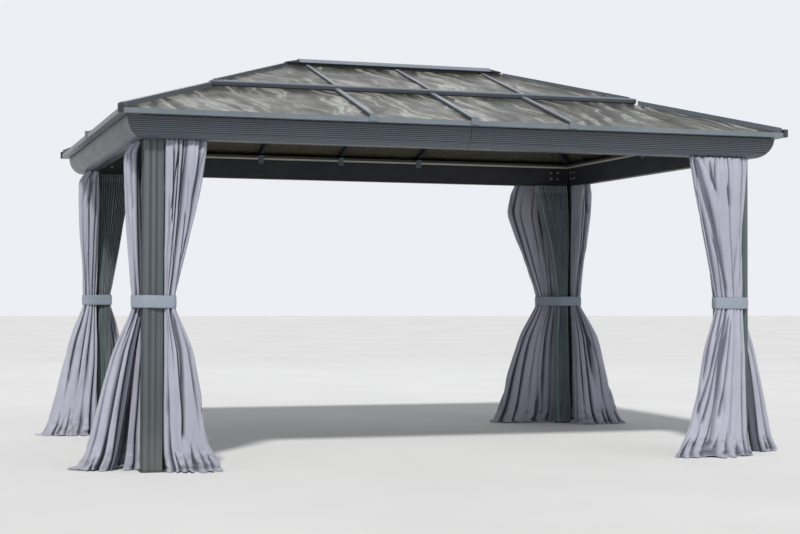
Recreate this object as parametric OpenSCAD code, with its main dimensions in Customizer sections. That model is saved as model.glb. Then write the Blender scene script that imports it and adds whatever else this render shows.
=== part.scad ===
// Hardtop garden gazebo: aluminium frame on four corner posts, two-tier hip roof
// of smoked sheets, tied-back curtains and insect nets at every corner.
// Millimetres. Origin on the floor under the middle of the roof, X along the long side,
// the front at -Y, Z up.

/* [Frame] */
// Length between the lower outer edges of the short beams
frame_length = 4000; // [3800:10:4300]
// Width between the lower outer edges of the long beams
frame_width = 2700; // [2600:10:2900]
// Height of the beams' underside above the floor
eave_height = 1925; // [1900:5:2100]
// Width of each leg of a corner post
post_leg = 112; // [108:1:116]
// Thickness of each leg of a corner post
post_thick = 30; // [26:1:32]
// How far the post's face stands back from the beam's lower edge
post_setback = 22; // [20:1:24]
// Thickness of the foot plates
plate_thick = 6; // [5:0.5:6]
// Anchor hole diameter in the foot plates
anchor_hole = 13; // [11:1:14]
// Spacing of the anchor holes
anchor_spacing = 70; // [60:1:72]

/* [Cornice] */
// How far the cornice stands out at its top
cornice_out = 100; // [90:1:105]
// Height of the cornice
cornice_high = 124; // [115:1:128]
// Number of horizontal grooves
groove_count = 7; // [5:1:7]
// Depth of the grooves
groove_deep = 2.5; // [1.5:0.5:3]

/* [Roof] */
// Overhang of the eave trim past the beams' lower edge
eave_overhang = 152; // [146:1:160]
// Rise of the long slopes for each millimetre of run
roof_slope = 0.337; // [0.31:0.001:0.36]
// Length of the ridge line
ridge_length = 1560; // [1450:10:1650]
// Share of the slope covered by the lower tier
tier_share = 0.51; // [0.48:0.01:0.54]
// Step up from the lower tier to the upper tier
tier_step = 18; // [16:1:24]
// Distance between the rafters on the long sides
rafter_spacing = 647; // [600:1:680]
// Width of the lower rafters
rafter_wide = 32; // [28:1:36]
// Thickness of the roof sheets in the lower tier
sheet_thick = 8; // [6:1:8]

/* [Curtains] */
// Height of the tie bands' middle
tie_height = 985; // [940:5:1030]
// Height of a tie band
tie_high = 74; // [60:1:80]
// How far the outer hems fan out at the short sides
hem_fan = 360; // [300:5:365]

/* [Hidden] */
L2 = frame_length / 2;
W2 = frame_width / 2;
EX = L2 + eave_overhang;
EY = W2 + eave_overhang;
RH = ridge_length / 2;
run_x = EX - RH;
run_y = EY;
k = run_x / run_y;
hl = sqrt(1 + k * k);
s = roof_slope;
z_top = eave_height + cornice_high;
z_eave = eave_height + 175;
dm = tier_share * run_y;
px = L2 - post_setback;
py = W2 - post_setback;
box_z = eave_height + 24;
beam_z = eave_height + 147;
beam_in = 60;
eps = 0.2;

slate = [0.36, 0.39, 0.42];
light = [0.58, 0.61, 0.64];
dark = [0.12, 0.13, 0.15];
smoke = [0.45, 0.44, 0.40];
cloth = [0.72, 0.72, 0.77];
mesh = [0.20, 0.25, 0.25];

// ---- general shapes ----

// closed skin through rings of points, lowest first, each anticlockwise from above
module skin(r) {
  n = len(r[0]);
  m = len(r);
  polyhedron(points = [for (q = r) for (p = q) p],
    faces = concat([[for (i = [0:n - 1]) i]],
      [for (j = [0:m - 2]) for (i = [0:n - 1])
        [j * n + i, (j + 1) * n + i, (j + 1) * n + (i + 1) % n, j * n + (i + 1) % n]],
      [[for (i = [0:n - 1]) m * n - 1 - i]]));
}

// height of the lower tier's top plane at a distance d in from the front eave line
function zf(d) = z_eave + s * d;

// slab over plan points given as [x, y], following the front slope
module front_slab(p, lo, hi) {
  skin([[for (q = p) [q[0], q[1], zf(EY + q[1]) + lo]], [for (q = p) [q[0], q[1], zf(EY + q[1]) + hi]]]);
}

// slab over plan points given as [x, y], following the left slope
module left_slab(p, lo, hi) {
  skin([[for (q = p) [q[0], q[1], zf((EX + q[0]) / k) + lo]], [for (q = p) [q[0], q[1], zf((EX + q[0]) / k) + hi]]]);
}

// bar along the front-left hip from t0 to t1, half width a
module hip_bar(t0, t1, a, lo, hi) {
  nx = a / hl;
  ny = a * k / hl;
  function c(t) = [-EX + k * t, -EY + t];
  p = [[c(t0)[0] - nx, c(t0)[1] + ny, zf(t0)], [c(t0)[0] + nx, c(t0)[1] - ny, zf(t0)],
    [c(t1)[0] + nx, c(t1)[1] - ny, zf(t1)], [c(t1)[0] - nx, c(t1)[1] + ny, zf(t1)]];
  skin([[for (q = p) [q[0], q[1], q[2] + lo]], [for (q = p) [q[0], q[1], q[2] + hi]]]);
}

module both_x() { children(); mirror([1, 0, 0]) children(); }
module both_y() { children(); mirror([0, 1, 0]) children(); }

// plan outline of one side's strip between two offsets from the lower beam edge, mitred at the corners
module front_strip(o_in, o_out, cut = 0) {
  polygon([[-L2 - o_out + cut, -W2 - o_out], [L2 + o_out - cut, -W2 - o_out], [L2 + o_in - cut, -W2 - o_in], [-L2 - o_in + cut, -W2 - o_in]]);
}
module left_strip(o_in, o_out, cut = 0) {
  polygon([[-L2 - o_out, W2 + o_out - cut], [-L2 - o_out, -W2 - o_out + cut], [-L2 - o_in, -W2 - o_in + cut], [-L2 - o_in, W2 + o_in - cut]]);
}

// ---- posts ----

// fluted L section, outer corner at the origin, legs along +x and +y
module post_section() {
  flute = 3;
  difference() {
    union() {
      square([post_leg, post_thick]);
      square([post_thick, post_leg]);
    }
    for (i = [0:3]) {
      translate([22 + i * 20, -0.01]) square([10, flute]);
      translate([-0.01, 22 + i * 20]) square([flute, 10]);
    }
  }
}
module post() {
  translate([-px, -py, plate_thick]) linear_extrude(box_z - plate_thick) post_section();
}
module foot_plate() {
  h = 93;
  translate([-px, -py, 0]) difference() {
    translate([-14, -14, 0]) cube([170, 170, plate_thick]);
    for (i = [-1, 1]) for (j = [-1, 1])
      translate([h + i * anchor_spacing / 2, h + j * anchor_spacing / 2, -1]) cylinder(d = anchor_hole, h = plate_thick + 2, $fn = 48);
  }
}
module front_left_post() { color(slate) post(); }
module front_right_post() { color(slate) mirror([1, 0, 0]) post(); }
module back_left_post() { color(slate) mirror([0, 1, 0]) post(); }
module back_right_post() { color(slate) mirror([1, 0, 0]) mirror([0, 1, 0]) post(); }
module post_foot_plates() { color(dark) both_x() both_y() foot_plate(); }

// ---- beams ----

// how far the cornice stands out at height z
function cornice(z) = cornice_out * sqrt(max(0, 1 - pow((z_top - z) / cornice_high, 2)));

// beam outline as [offset out, height]
function beam_outline() = concat(
  [[-20, z_top], [cornice_out, z_top]],
  [for (i = [0:groove_count - 1]) let (z = z_top - 19 - 11 * i)
    each [[cornice(z), z], [cornice(z - 1) - groove_deep, z - 1], [cornice(z - 4) - groove_deep, z - 4], [cornice(z - 5), z - 5]]],
  [for (i = [1:6]) let (z = z_top - 90 - (cornice_high - 90) * sin(i * 15)) [cornice(z), z]],
  [[-15, eave_height], [-15, box_z], [-beam_in, box_z], [-beam_in, beam_z], [-20, beam_z]]);

module front_beam_shape() {
  intersection() {
    translate([-L2 - 150, 0, 0]) rotate([90, 0, 90]) linear_extrude(frame_length + 300)
      polygon([for (q = beam_outline()) [-W2 - q[0], q[1]]]);
    difference() {
      translate([0, 0, eave_height - 5]) linear_extrude(200) front_strip(-beam_in - 5, cornice_out + 5, 0.15);
      translate([-0.5, -W2 - 150, eave_height - 10]) cube([1, 220, 220]);
    }
  }
}
module left_beam_shape() {
  intersection() {
    translate([0, W2 + 150, 0]) rotate([90, 0, 0]) linear_extrude(frame_width + 300)
      polygon([for (q = beam_outline()) [-L2 - q[0], q[1]]]);
    difference() {
      translate([0, 0, eave_height - 5]) linear_extrude(200) left_strip(-beam_in - 5, cornice_out + 5, 0.15);
      translate([-L2 - 150, -0.5, eave_height - 10]) cube([220, 1, 220]);
    }
  }
}
module front_beam() { color(slate) front_beam_shape(); }
module back_beam() { color(slate) mirror([0, 1, 0]) front_beam_shape(); }
module left_beam() { color(slate) left_beam_shape(); }
module right_beam() { color(slate) mirror([1, 0, 0]) left_beam_shape(); }

// ---- eave ----

// trim outline: outer face, lip, and a top that follows the slope under the sheets; w is the slope
function trim_outline(w) = [[eave_overhang, z_top + 4], [eave_overhang, z_top + 34], [eave_overhang - 3, z_top + 34],
  [eave_overhang - 3, z_eave - 26.2 + 3 * w], [92, z_eave - 26.2 + (eave_overhang - 92) * w], [92, z_top + 4]];

module front_trim_shape() {
  intersection() {
    translate([-L2 - 200, 0, 0]) rotate([90, 0, 90]) linear_extrude(frame_length + 400)
      polygon([for (q = trim_outline(s)) [-W2 - q[0], q[1]]]);
    translate([0, 0, z_top]) linear_extrude(100) front_strip(80, eave_overhang + 5, 0.15);
  }
}
module left_trim_shape() {
  intersection() {
    translate([0, W2 + 200, 0]) rotate([90, 0, 0]) linear_extrude(frame_width + 400)
      polygon([for (q = trim_outline(s / k)) [-L2 - q[0], q[1]]]);
    translate([0, 0, z_top]) linear_extrude(100) left_strip(80, eave_overhang + 5, 0.15);
  }
}
module front_eave_trim() { color(light) front_trim_shape(); }
module back_eave_trim() { color(light) mirror([0, 1, 0]) front_trim_shape(); }
module left_eave_trim() { color(light) left_trim_shape(); }
module right_eave_trim() { color(light) mirror([1, 0, 0]) left_trim_shape(); }

module eave_closure_strips() {
  color([0.74, 0.72, 0.64]) translate([0, 0, beam_z + eps]) {
    both_y() linear_extrude(32) front_strip(-58, -50, 0.15);
    both_x() linear_extrude(32) left_strip(-58, -50, 0.15);
  }
}

// ---- rafters ----

module rect_front(x0, x1, d0, d1, lo, hi) { front_slab([[x0, -EY + d0], [x1, -EY + d0], [x1, -EY + d1], [x0, -EY + d1]], lo, hi); }
module rect_left(y0, y1, d0, d1, lo, hi) { left_slab([[-EX + k * d0, y1], [-EX + k * d0, y0], [-EX + k * d1, y0], [-EX + k * d1, y1]], lo, hi); }

module front_rafters_shape() {
  for (x = [-rafter_spacing, 0, rafter_spacing]) {
    // lower tier: cap rail over the sheets and the web below them
    union() {
      rect_front(x - rafter_wide / 2, x + rafter_wide / 2, 3.2, dm - 18.2, -26, 0);
      rect_front(x - 10, x + 10, 216, dm - 18.2, -66, -25.9);
    }
    // upper tier
    union() {
      rect_front(x - 12, x + 12, dm + eps, run_y - 20.2, 0, tier_step);
      rect_front(x - 8, x + 8, dm + 18.2, run_y - 20.2, -30, 0.1);
    }
  }
}
module side_rafters_shape() {
  union() {
    rect_left(-rafter_wide / 2, rafter_wide / 2, 3.2 / k, dm - 18.2 / k, -26, 0);
    rect_left(-10, 10, 216 / k, dm - 18.2 / k, -66, -25.9);
  }
  union() {
    rect_left(-12, 12, dm + eps, run_y + 4.5, 0, tier_step);
    rect_left(-8, 8, dm + 18.2 / k, run_y + 4.5, -30, 0.1);
  }
}
module front_rafters() { color(light) front_rafters_shape(); }
module back_rafters() { color(light) mirror([0, 1, 0]) front_rafters_shape(); }
module side_rafters() { color(light) both_x() side_rafters_shape(); }

module lower_hips() {
  color(slate) both_x() both_y() union() {
    hip_bar(22, dm - 40, 22, -26, 8);
    hip_bar(258, dm - 40, 12, -70, -25.9);
  }
}
module upper_hips() {
  color(slate) both_x() both_y() {
    hip_bar(dm + 12, run_y - 32, 14, 0, tier_step + 4);
    hip_bar(dm + 30, run_y - 32, 8, -30, -0.3);
  }
}
module hip_end_caps() {
  color(dark) both_x() both_y() difference() {
    translate([-EX - 8, -EY - 8, z_top + 6]) cube([28, 28, 49]);
    translate([-EX - eps, -EY - eps, z_top]) cube([60, 60, 34 + eps]);
  }
}

// ---- purlins and upper tier trim ----

// ring piece along the front between two run distances, mitred on the hips
module front_ring(d0, d1, lo, hi) {
  x0 = EX - k * d0;
  x1 = EX - k * d1;
  front_slab([[-x0 + 0.2, -EY + d0], [x0 - 0.2, -EY + d0], [x1 - 0.2, -EY + d1], [-x1 + 0.2, -EY + d1]], lo, hi);
}
module left_ring(d0, d1, lo, hi) {
  left_slab([[-EX + k * d0, EY - d0 - 0.2], [-EX + k * d0, -EY + d0 + 0.2], [-EX + k * d1, -EY + d1 + 0.2], [-EX + k * d1, EY - d1 - 0.2]], lo, hi);
}
module mid_purlins() {
  color(dark) {
    both_y() front_ring(dm - 18, dm + 18, -62, -10.2);
    both_x() left_ring(dm - 18, dm + 18, -62, -10.2);
  }
}
module upper_tier_trim() {
  color(light) {
    both_y() union() {
      front_ring(dm - 26, dm + 10, -10, -0.2);
      front_ring(dm - 26, dm - 0.2, -0.3, tier_step);
    }
    both_x() union() {
      left_ring(dm - 26, dm + 10, -10, -0.2);
      left_ring(dm - 26, dm - 0.2, -0.3, tier_step);
    }
  }
}

// ---- ridge ----
z_ridge = zf(run_y) + tier_step - 2;
module ridge_beam() {
  color(dark) translate([-RH + 5, -20, z_ridge - 62]) cube([ridge_length - 10, 40, 62 - eps]);
}
module ridge_cap() {
  color(light) translate([-RH + 75, 0, z_ridge]) rotate([90, 0, 90]) linear_extrude(ridge_length - 150)
    polygon(concat([for (i = [0:10]) [58 * cos(i * 18), 4 + 28 * sin(i * 18)]], [[-58, 0], [58, 0]]));
}
module ridge_end_caps() {
  color(dark) both_x() skin([
    [for (q = [[-RH - 18, 34], [-RH - 18, -34], [-RH + 74.5, -50], [-RH + 74.5, 50]]) [q[0], q[1], z_ridge]],
    [for (q = [[-RH - 18, 22, 6], [-RH - 18, -22, 6], [-RH + 74.5, -30, 22], [-RH + 74.5, 30, 22]]) [q[0], q[1], z_ridge + q[2]]]]);
}

// ---- small fittings at the rafter feet ----
module front_clip(x) {
  translate([x - 23, -EY - 8, z_top + 8]) cube([46, 7.8, 48]);
  translate([x - 23, -EY - 0.3, z_top + 34.2]) cube([46, 3.2, 21.8]);
}
module left_clip() {
  translate([-EX - 8, -23, z_top + 8]) cube([7.8, 46, 48]);
  translate([-EX - 0.3, -23, z_top + 34.2]) cube([3.2, 46, 21.8]);
}
module rafter_end_clips() {
  color(light) {
    both_y() for (x = [-rafter_spacing, 0, rafter_spacing]) union() front_clip(x);
    both_x() union() left_clip();
  }
}
module rafter_brackets() {
  color([0.7, 0.71, 0.72]) {
    both_y() for (x = [-rafter_spacing, 0, rafter_spacing]) translate([x - 20, -W2 + beam_in + eps, 0]) {
      translate([0, 0, beam_z - 30]) cube([40, 4, 61]);
      translate([0, 3.9, beam_z + 25]) cube([40, 30, 6]);
    }
    both_x() translate([-L2 + beam_in + eps, -20, 0]) {
      translate([0, 0, beam_z - 30]) cube([4, 40, 61]);
      translate([3.9, 0, beam_z + 25]) cube([30, 40, 6]);
    }
  }
}

// ---- roof sheets ----
half = rafter_wide / 2 + 0.4;
sh_lo = 22.4 * hl;
sh_hi = 14.4 * hl;
// x of the left hip's clear edge on the front slope, at run d
function hx(d, sh) = -(RH + k * (EY - d)) + sh;

module front_panels_shape() {
  a = 3.4;
  b = dm - 18.6;
  lo = -26 + eps;
  hi = lo + sheet_thick;
  both_x() {
    front_slab([[hx(a, sh_lo), -EY + a], [-rafter_spacing - half, -EY + a], [-rafter_spacing - half, -EY + b], [hx(b, sh_lo), -EY + b]], lo, hi);
    rect_front(-rafter_spacing + half, -half, a, b, lo, hi);
  }
  c = dm + 0.4;
  e = run_y - 20.6;
  both_x() {
    front_slab([[hx(c, sh_hi), -EY + c], [-rafter_spacing - 12.4, -EY + c], [-rafter_spacing - 12.4, -EY + e], [hx(e, sh_hi), -EY + e]], eps, 6);
    rect_front(-rafter_spacing + 12.4, -12.4, c, e, eps, 6);
  }
}
module left_panels_shape() {
  a = 3.4 / k;
  b = dm - 18.6 / k;
  lo = -26 + eps;
  hi = lo + sheet_thick;
  f = 22.4 * hl / k;
  g = 14.4 * hl / k;
  both_y()
    left_slab([[-EX + k * a, -half], [-EX + k * a, -(EY - a) + f], [-EX + k * b, -(EY - b) + f], [-EX + k * b, -half]], lo, hi);
  c = dm + 0.4;
  // the two upper sheets end in a point beside the middle rafter
  e = EY - g - 12.6;
  both_y()
    left_slab([[-EX + k * c, -12.6], [-EX + k * c, -(EY - c) + g], [-EX + k * e, -12.6]], eps, 6);
}
module front_roof_panels() { color(smoke) front_panels_shape(); }
module back_roof_panels() { color(smoke) mirror([0, 1, 0]) front_panels_shape(); }
module left_roof_panels() { color(smoke) left_panels_shape(); }
module right_roof_panels() { color(smoke) mirror([1, 0, 0]) left_panels_shape(); }

// ---- rails under the beams: an outer one for the curtains and an inner one for the nets ----
module rail_section() {
  h = box_z - eave_height - eps;
  difference() {
    square([18, h]);
    translate([2, 2]) square([14, h - 4]);
    translate([7, -1]) square([4, 4]);
  }
}
module curtain_rails() {
  color(dark) {
    both_y() for (o = [36, 60]) translate([-(px - post_leg - 4), -W2 + o, eave_height]) rotate([90, 0, 90])
      linear_extrude(2 * (px - post_leg - 4)) translate([-18, 0]) rail_section();
    both_x() for (o = [36, 60]) translate([-L2 + o - 18, py - post_leg - 4, eave_height]) rotate([90, 0, 0])
      linear_extrude(2 * (py - post_leg - 4)) rail_section();
  }
}

// ---- soft goods ----
// Each curtain is a gathered bundle. A table row is [height, u0, u1, v0, v1]: u runs along the
// beam from the post's inner edge, v outward from the post's outer face.
function col(t, c) = [for (r = t) [r[0], r[c]]];
function pw(x, e) = sign(x) * pow(abs(x), e);
function bundle_ring(t, z, n, e) = let (u0 = lookup(z, col(t, 1)), u1 = lookup(z, col(t, 2)),
    v0 = lookup(z, col(t, 3)), v1 = lookup(z, col(t, 4)))
  [for (i = [0:n - 1]) let (a = 360 * (i + 0.5) / n)
    [(u0 + u1) / 2 + (u1 - u0) / 2 * pw(cos(a), e), -(v0 + v1) / 2 + (v1 - v0) / 2 * pw(sin(a), e), z]];
cloth_z = [0, 7, 8.5, 60, 160, 400, 700, tie_height - 60, tie_height - 45, tie_height + 45, 1200, 1450, 1700, 1880, eave_height - 3];
module bundle(t, e = 0.55, zs = cloth_z) { skin([for (z = zs) bundle_ring(t, z, 20, e)]); }
// the nets hang just clear of the foot plates
net_z = [for (z = cloth_z) if (z >= 7) z + (z == 7 ? 1 : z == 8.5 ? 1.5 : 0)];
// on the front side at the left post; mirrored for the others
module at_front() { translate([-px + post_leg, -py, 0]) children(); }
// on the left side at the front post: u runs along +y, v outward along -x
module at_left() { translate([-px, -py + post_leg, 0]) mirror([1, -1, 0]) children(); }

top_z = eave_height - 3;
t_lo = tie_height - 45;
t_hi = tie_height + 45;
module front_curtain_left() {
  color(cloth) at_front() bundle([
    [0, 50, 345, -60, 52], [7, 49, 340, -60, 52], [8.5, 5, 335, -62, 54], [160, 5, 238, -58, 50], [400, 5, 212, -54, 48],
    [700, 5, 160, -50, 44], [t_lo, 5, 72, -44, 32], [t_hi, 5, 72, -44, 32], [1450, 5, 180, -42, 44], [1700, 5, 226, -42, 48], [1880, 5, 252, -42, 44], [top_z, 5, 256, -40, 20]]);
}
module front_curtain_right() {
  color(cloth) mirror([1, 0, 0]) at_front() bundle([
    [0, -112, 430, 18, 84], [7, -112, 425, 18, 84], [8.5, -110, 420, 5, 84], [60, -80, 400, 5, 80], [160, -66, 340, 5, 74], [400, -64, 275, 5, 66],
    [700, -60, 226, 5, 60], [t_lo, -54, 140, 5, 44], [t_hi, -52, 140, 5, 44], [1450, -40, 240, 5, 58], [1700, -66, 298, 5, 64], [1880, -80, 324, 5, 62], [top_z, -84, 328, 5, 48]]);
}
module back_curtain_left() {
  color(cloth) mirror([0, 1, 0]) at_front() bundle([
    [0, 50, 250, -44, 70], [7, 49, 246, -44, 70], [8.5, 5, 242, -44, 72], [160, 5, 212, -44, 66], [400, 5, 180, -44, 60],
    [700, 5, 130, -42, 50], [t_lo, 5, 66, -40, 36], [t_hi, 5, 66, -40, 36], [1450, 5, 150, -42, 48], [1700, 5, 170, -42, 52], [1880, 5, 176, -42, 46], [top_z, 5, 176, -40, 20]]);
}
module back_curtain_right() {
  color(cloth) mirror([0, 1, 0]) mirror([1, 0, 0]) at_front() bundle([
    [0, 50, 540, -44, 90], [7, 49, 536, -44, 90], [8.5, 5, 530, -44, 92], [160, 5, 500, -44, 84], [400, 5, 440, -44, 74],
    [700, 5, 330, -42, 60], [t_lo, 5, 180, -40, 40], [t_hi, 5, 180, -40, 40], [1450, 5, 346, -42, 54], [1700, 5, 430, -42, 60], [1880, 5, 392, -42, 50], [top_z, 5, 380, -40, 20]]);
}
function side_table(f) = [
    [0, -70, 210, 20, f], [7, -70, 208, 20, f - 2], [8.5, -70, 206, 6, f - 3], [60, -60, 200, 6, f - 22], [160, -50, 190, 6, f - 52], [400, -20, 180, 6, f * 0.64],
    [520, 5, 174, 6, f * 0.54], [700, 5, 150, -16, f * 0.4], [t_lo, 5, 74, -40, 44], [t_hi, 5, 74, -40, 46], [1450, 5, 180, -42, 74], [1700, 5, 224, -42, 84], [1880, 5, 246, -42, 84], [top_z, 5, 250, -40, 20]];
module left_curtain_front() { color(cloth) at_left() bundle(side_table(hem_fan)); }
module left_curtain_back() { color(cloth) mirror([0, 1, 0]) at_left() bundle(side_table(hem_fan)); }
module right_curtain_front() { color(cloth) mirror([1, 0, 0]) at_left() bundle(side_table(hem_fan)); }
module right_curtain_back() { color(cloth) mirror([1, 0, 0]) mirror([0, 1, 0]) at_left() bundle(side_table(hem_fan)); }

// net bundle in the post's inner corner, same table columns as a curtain's
module net() {
  color(mesh) at_front() bundle([
    [0, -40, 70, -186, -70], [7, -40, 70, -186, -70], [8.5, -40, 70, -186, -70], [160, -38, 66, -182, -70], [400, -36, 60, -176, -70], [t_lo, -34, 50, -160, -66],
    [t_hi, -34, 50, -160, -66], [1450, -40, 130, -170, -60], [1700, -44, 180, -160, -54], [1880, -46, 215, -140, -50], [top_z, -46, 220, -120, -48]], 0.7, net_z);
}
module front_left_net() { net(); }
module front_right_net() { mirror([1, 0, 0]) net(); }
module back_left_net() { mirror([0, 1, 0]) net(); }
module back_right_net() { mirror([1, 0, 0]) mirror([0, 1, 0]) net(); }

// one band round each post, its curtains and its net; reach is how far it goes along the long side
module tie(reach, front) {
  x0 = -52;
  x1 = reach;
  y0 = -front;
  y1 = 196;
  function ring2(g) = [for (i = [0:31]) let (a = 360 * (i + 0.5) / 32)
    [(x0 + x1) / 2 + ((x1 - x0) / 2 + g) * pw(cos(a), 0.28), (y0 + y1) / 2 + ((y1 - y0) / 2 + g) * pw(sin(a), 0.28)]];
  translate([-px, -py, tie_height - tie_high / 2]) linear_extrude(tie_high) difference() {
    polygon(ring2(4));
    polygon(ring2(0));
  }
}
module curtain_ties() {
  color([0.58, 0.63, 0.69]) {
    tie(192, 40);
    mirror([1, 0, 0]) tie(262, 52);
    mirror([0, 1, 0]) tie(186, 44);
    mirror([1, 0, 0]) mirror([0, 1, 0]) tie(302, 48);
  }
}

front_left_post();
front_right_post();
back_left_post();
back_right_post();
post_foot_plates();
front_beam();
back_beam();
left_beam();
right_beam();
front_eave_trim();
back_eave_trim();
left_eave_trim();
right_eave_trim();
eave_closure_strips();
front_rafters();
back_rafters();
side_rafters();
lower_hips();
upper_hips();
hip_end_caps();
mid_purlins();
upper_tier_trim();
ridge_beam();
ridge_cap();
ridge_end_caps();
rafter_end_clips();
rafter_brackets();
front_roof_panels();
back_roof_panels();
left_roof_panels();
right_roof_panels();
curtain_rails();
front_curtain_left();
front_curtain_right();
back_curtain_left();
back_curtain_right();
left_curtain_front();
left_curtain_back();
right_curtain_front();
right_curtain_back();
front_left_net();
front_right_net();
back_left_net();
back_right_net();
curtain_ties();
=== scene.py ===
import math

import bmesh
import bpy
import numpy as np
from mathutils import Matrix, Vector


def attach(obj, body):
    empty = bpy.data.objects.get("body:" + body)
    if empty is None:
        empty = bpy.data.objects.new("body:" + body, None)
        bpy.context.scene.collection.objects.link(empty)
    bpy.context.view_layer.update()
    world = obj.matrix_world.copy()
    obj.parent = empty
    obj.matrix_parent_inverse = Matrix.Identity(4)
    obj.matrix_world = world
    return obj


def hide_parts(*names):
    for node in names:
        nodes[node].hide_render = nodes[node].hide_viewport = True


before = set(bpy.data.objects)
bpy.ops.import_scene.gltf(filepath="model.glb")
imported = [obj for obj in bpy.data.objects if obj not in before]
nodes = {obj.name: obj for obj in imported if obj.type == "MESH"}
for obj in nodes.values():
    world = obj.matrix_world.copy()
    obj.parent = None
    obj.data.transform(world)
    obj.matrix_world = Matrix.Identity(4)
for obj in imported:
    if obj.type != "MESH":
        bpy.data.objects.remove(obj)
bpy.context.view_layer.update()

# ---------------------------------------------------------------- shared sizes, metres
PX, PY, LEG = 1.978, 1.328, 0.112        # posts: outer faces and leg
L2, W2 = 2.000, 1.350                    # lower beam edges
EX, EY, ZE, SL = 2.152, 1.502, 2.100, 0.337
KX = 1.372 / 1.502                       # side slope's run against the front slope's
DM = 0.51 * 1.502                        # inset of the middle purlins
TIE = 0.985
TOP = 1.922
RAFTERS = (-0.647, 0.0, 0.647)


def zf(d):
    return ZE + SL * d


# ---------------------------------------------------------------- smooth seeded noise
class Field:
    """Smooth random field over (a, b), about -1..1, repeatable."""

    def __init__(self, seed, octaves=1):
        r = np.random.default_rng(seed)
        self.g = [r.uniform(-1, 1, (64, 64)) for _ in range(octaves)]

    @staticmethod
    def _one(g, a, b):
        a, b = np.asarray(a, float) % 64, np.asarray(b, float) % 64
        i, j = np.floor(a).astype(int) % 64, np.floor(b).astype(int) % 64
        u, v = a - np.floor(a), b - np.floor(b)
        u, v = u * u * (3 - 2 * u), v * v * (3 - 2 * v)
        i2, j2 = (i + 1) % 64, (j + 1) % 64
        return (g[i, j] * (1 - u) + g[i2, j] * u) * (1 - v) + (g[i, j2] * (1 - u) + g[i2, j2] * u) * v

    def __call__(self, a, b):
        out, w, f, tot = 0, 1.0, 1.0, 0
        for g in self.g:
            out = out + w * self._one(g, np.asarray(a) * f, np.asarray(b) * f)
            tot += w
            w *= 0.5
            f *= 2.03
        return out / tot


# ---------------------------------------------------------------- materials
class Mat:
    def __init__(self, name):
        self.m = bpy.data.materials.new(name)
        self.m.use_nodes = True
        self.t = self.m.node_tree
        self.t.nodes.clear()
        self.out = self.n("ShaderNodeOutputMaterial")
        self.tc = self.n("ShaderNodeTexCoord")
        self.geo = self.n("ShaderNodeNewGeometry")

    def n(self, kind, ins=None, **props):
        x = self.t.nodes.new(kind)
        for k, v in props.items():
            setattr(x, k, v)
        for k, v in (ins or {}).items():
            s = x.inputs[k]
            if isinstance(v, bpy.types.NodeSocket):
                self.t.links.new(v, s)
            else:
                s.default_value = v
        return x

    def math(self, op, a, b=0.0, c=0.0, clamp=False):
        return self.n("ShaderNodeMath", {0: a, 1: b, 2: c}, operation=op, use_clamp=clamp).outputs[0]

    def mix(self, fac, a, b, blend="MIX"):
        a = (*a, 1) if isinstance(a, tuple) and len(a) == 3 else a
        b = (*b, 1) if isinstance(b, tuple) and len(b) == 3 else b
        return self.n("ShaderNodeMix", {0: fac, 6: a, 7: b}, data_type="RGBA", blend_type=blend).outputs[2]

    def remap(self, v, a, b, c=0.0, d=1.0, smooth=False):
        return self.n("ShaderNodeMapRange", {0: v, 1: a, 2: b, 3: c, 4: d},
                      interpolation_type="SMOOTHSTEP" if smooth else "LINEAR").outputs[0]

    def noise(self, vec, scale, detail=3.0, rough=0.55, dist=0.0):
        return self.n("ShaderNodeTexNoise", {"Vector": vec, "Scale": scale, "Detail": detail, "Roughness": rough,
                                             "Distortion": dist}).outputs[0]

    def mapped(self, vec, scale=(1, 1, 1), rot=(0, 0, 0), loc=(0, 0, 0)):
        return self.n("ShaderNodeMapping", {"Vector": vec, "Location": loc, "Rotation": rot, "Scale": scale}).outputs[0]

    def ramp(self, fac, stops):
        r = self.n("ShaderNodeValToRGB", {0: fac})
        e = r.color_ramp.elements
        while len(e) > 1:
            e.remove(e[-1])
        e[0].position, e[0].color = stops[0][0], (*stops[0][1], 1)
        for p, c in stops[1:]:
            q = e.new(p)
            q.color = (*c, 1)
        return r.outputs[0]

    def sep(self, vec):
        return self.n("ShaderNodeSeparateXYZ", {0: vec}).outputs

    def edge(self, radius, gain):
        """Rounded shading normal, and how near a sharp edge the point is."""
        b = self.n("ShaderNodeBevel", {"Radius": radius}, samples=4).outputs[0]
        d = self.n("ShaderNodeVectorMath", {0: b, 1: self.geo.outputs["True Normal"]}, operation="DOT_PRODUCT").outputs["Value"]
        return b, self.math("MULTIPLY", self.math("SUBTRACT", 1.0, d), gain, clamp=True)

    def bump(self, height, strength, dist, normal=None):
        ins = {"Strength": strength, "Distance": dist, "Height": height}
        if normal is not None:
            ins["Normal"] = normal
        return self.n("ShaderNodeBump", ins).outputs[0]

    def bsdf(self, **ins):
        return self.n("ShaderNodeBsdfPrincipled", {k.replace("_", " "): v for k, v in ins.items()})

    def done(self, shader):
        self.t.links.new(shader, self.out.inputs["Surface"])
        return self.m


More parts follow.
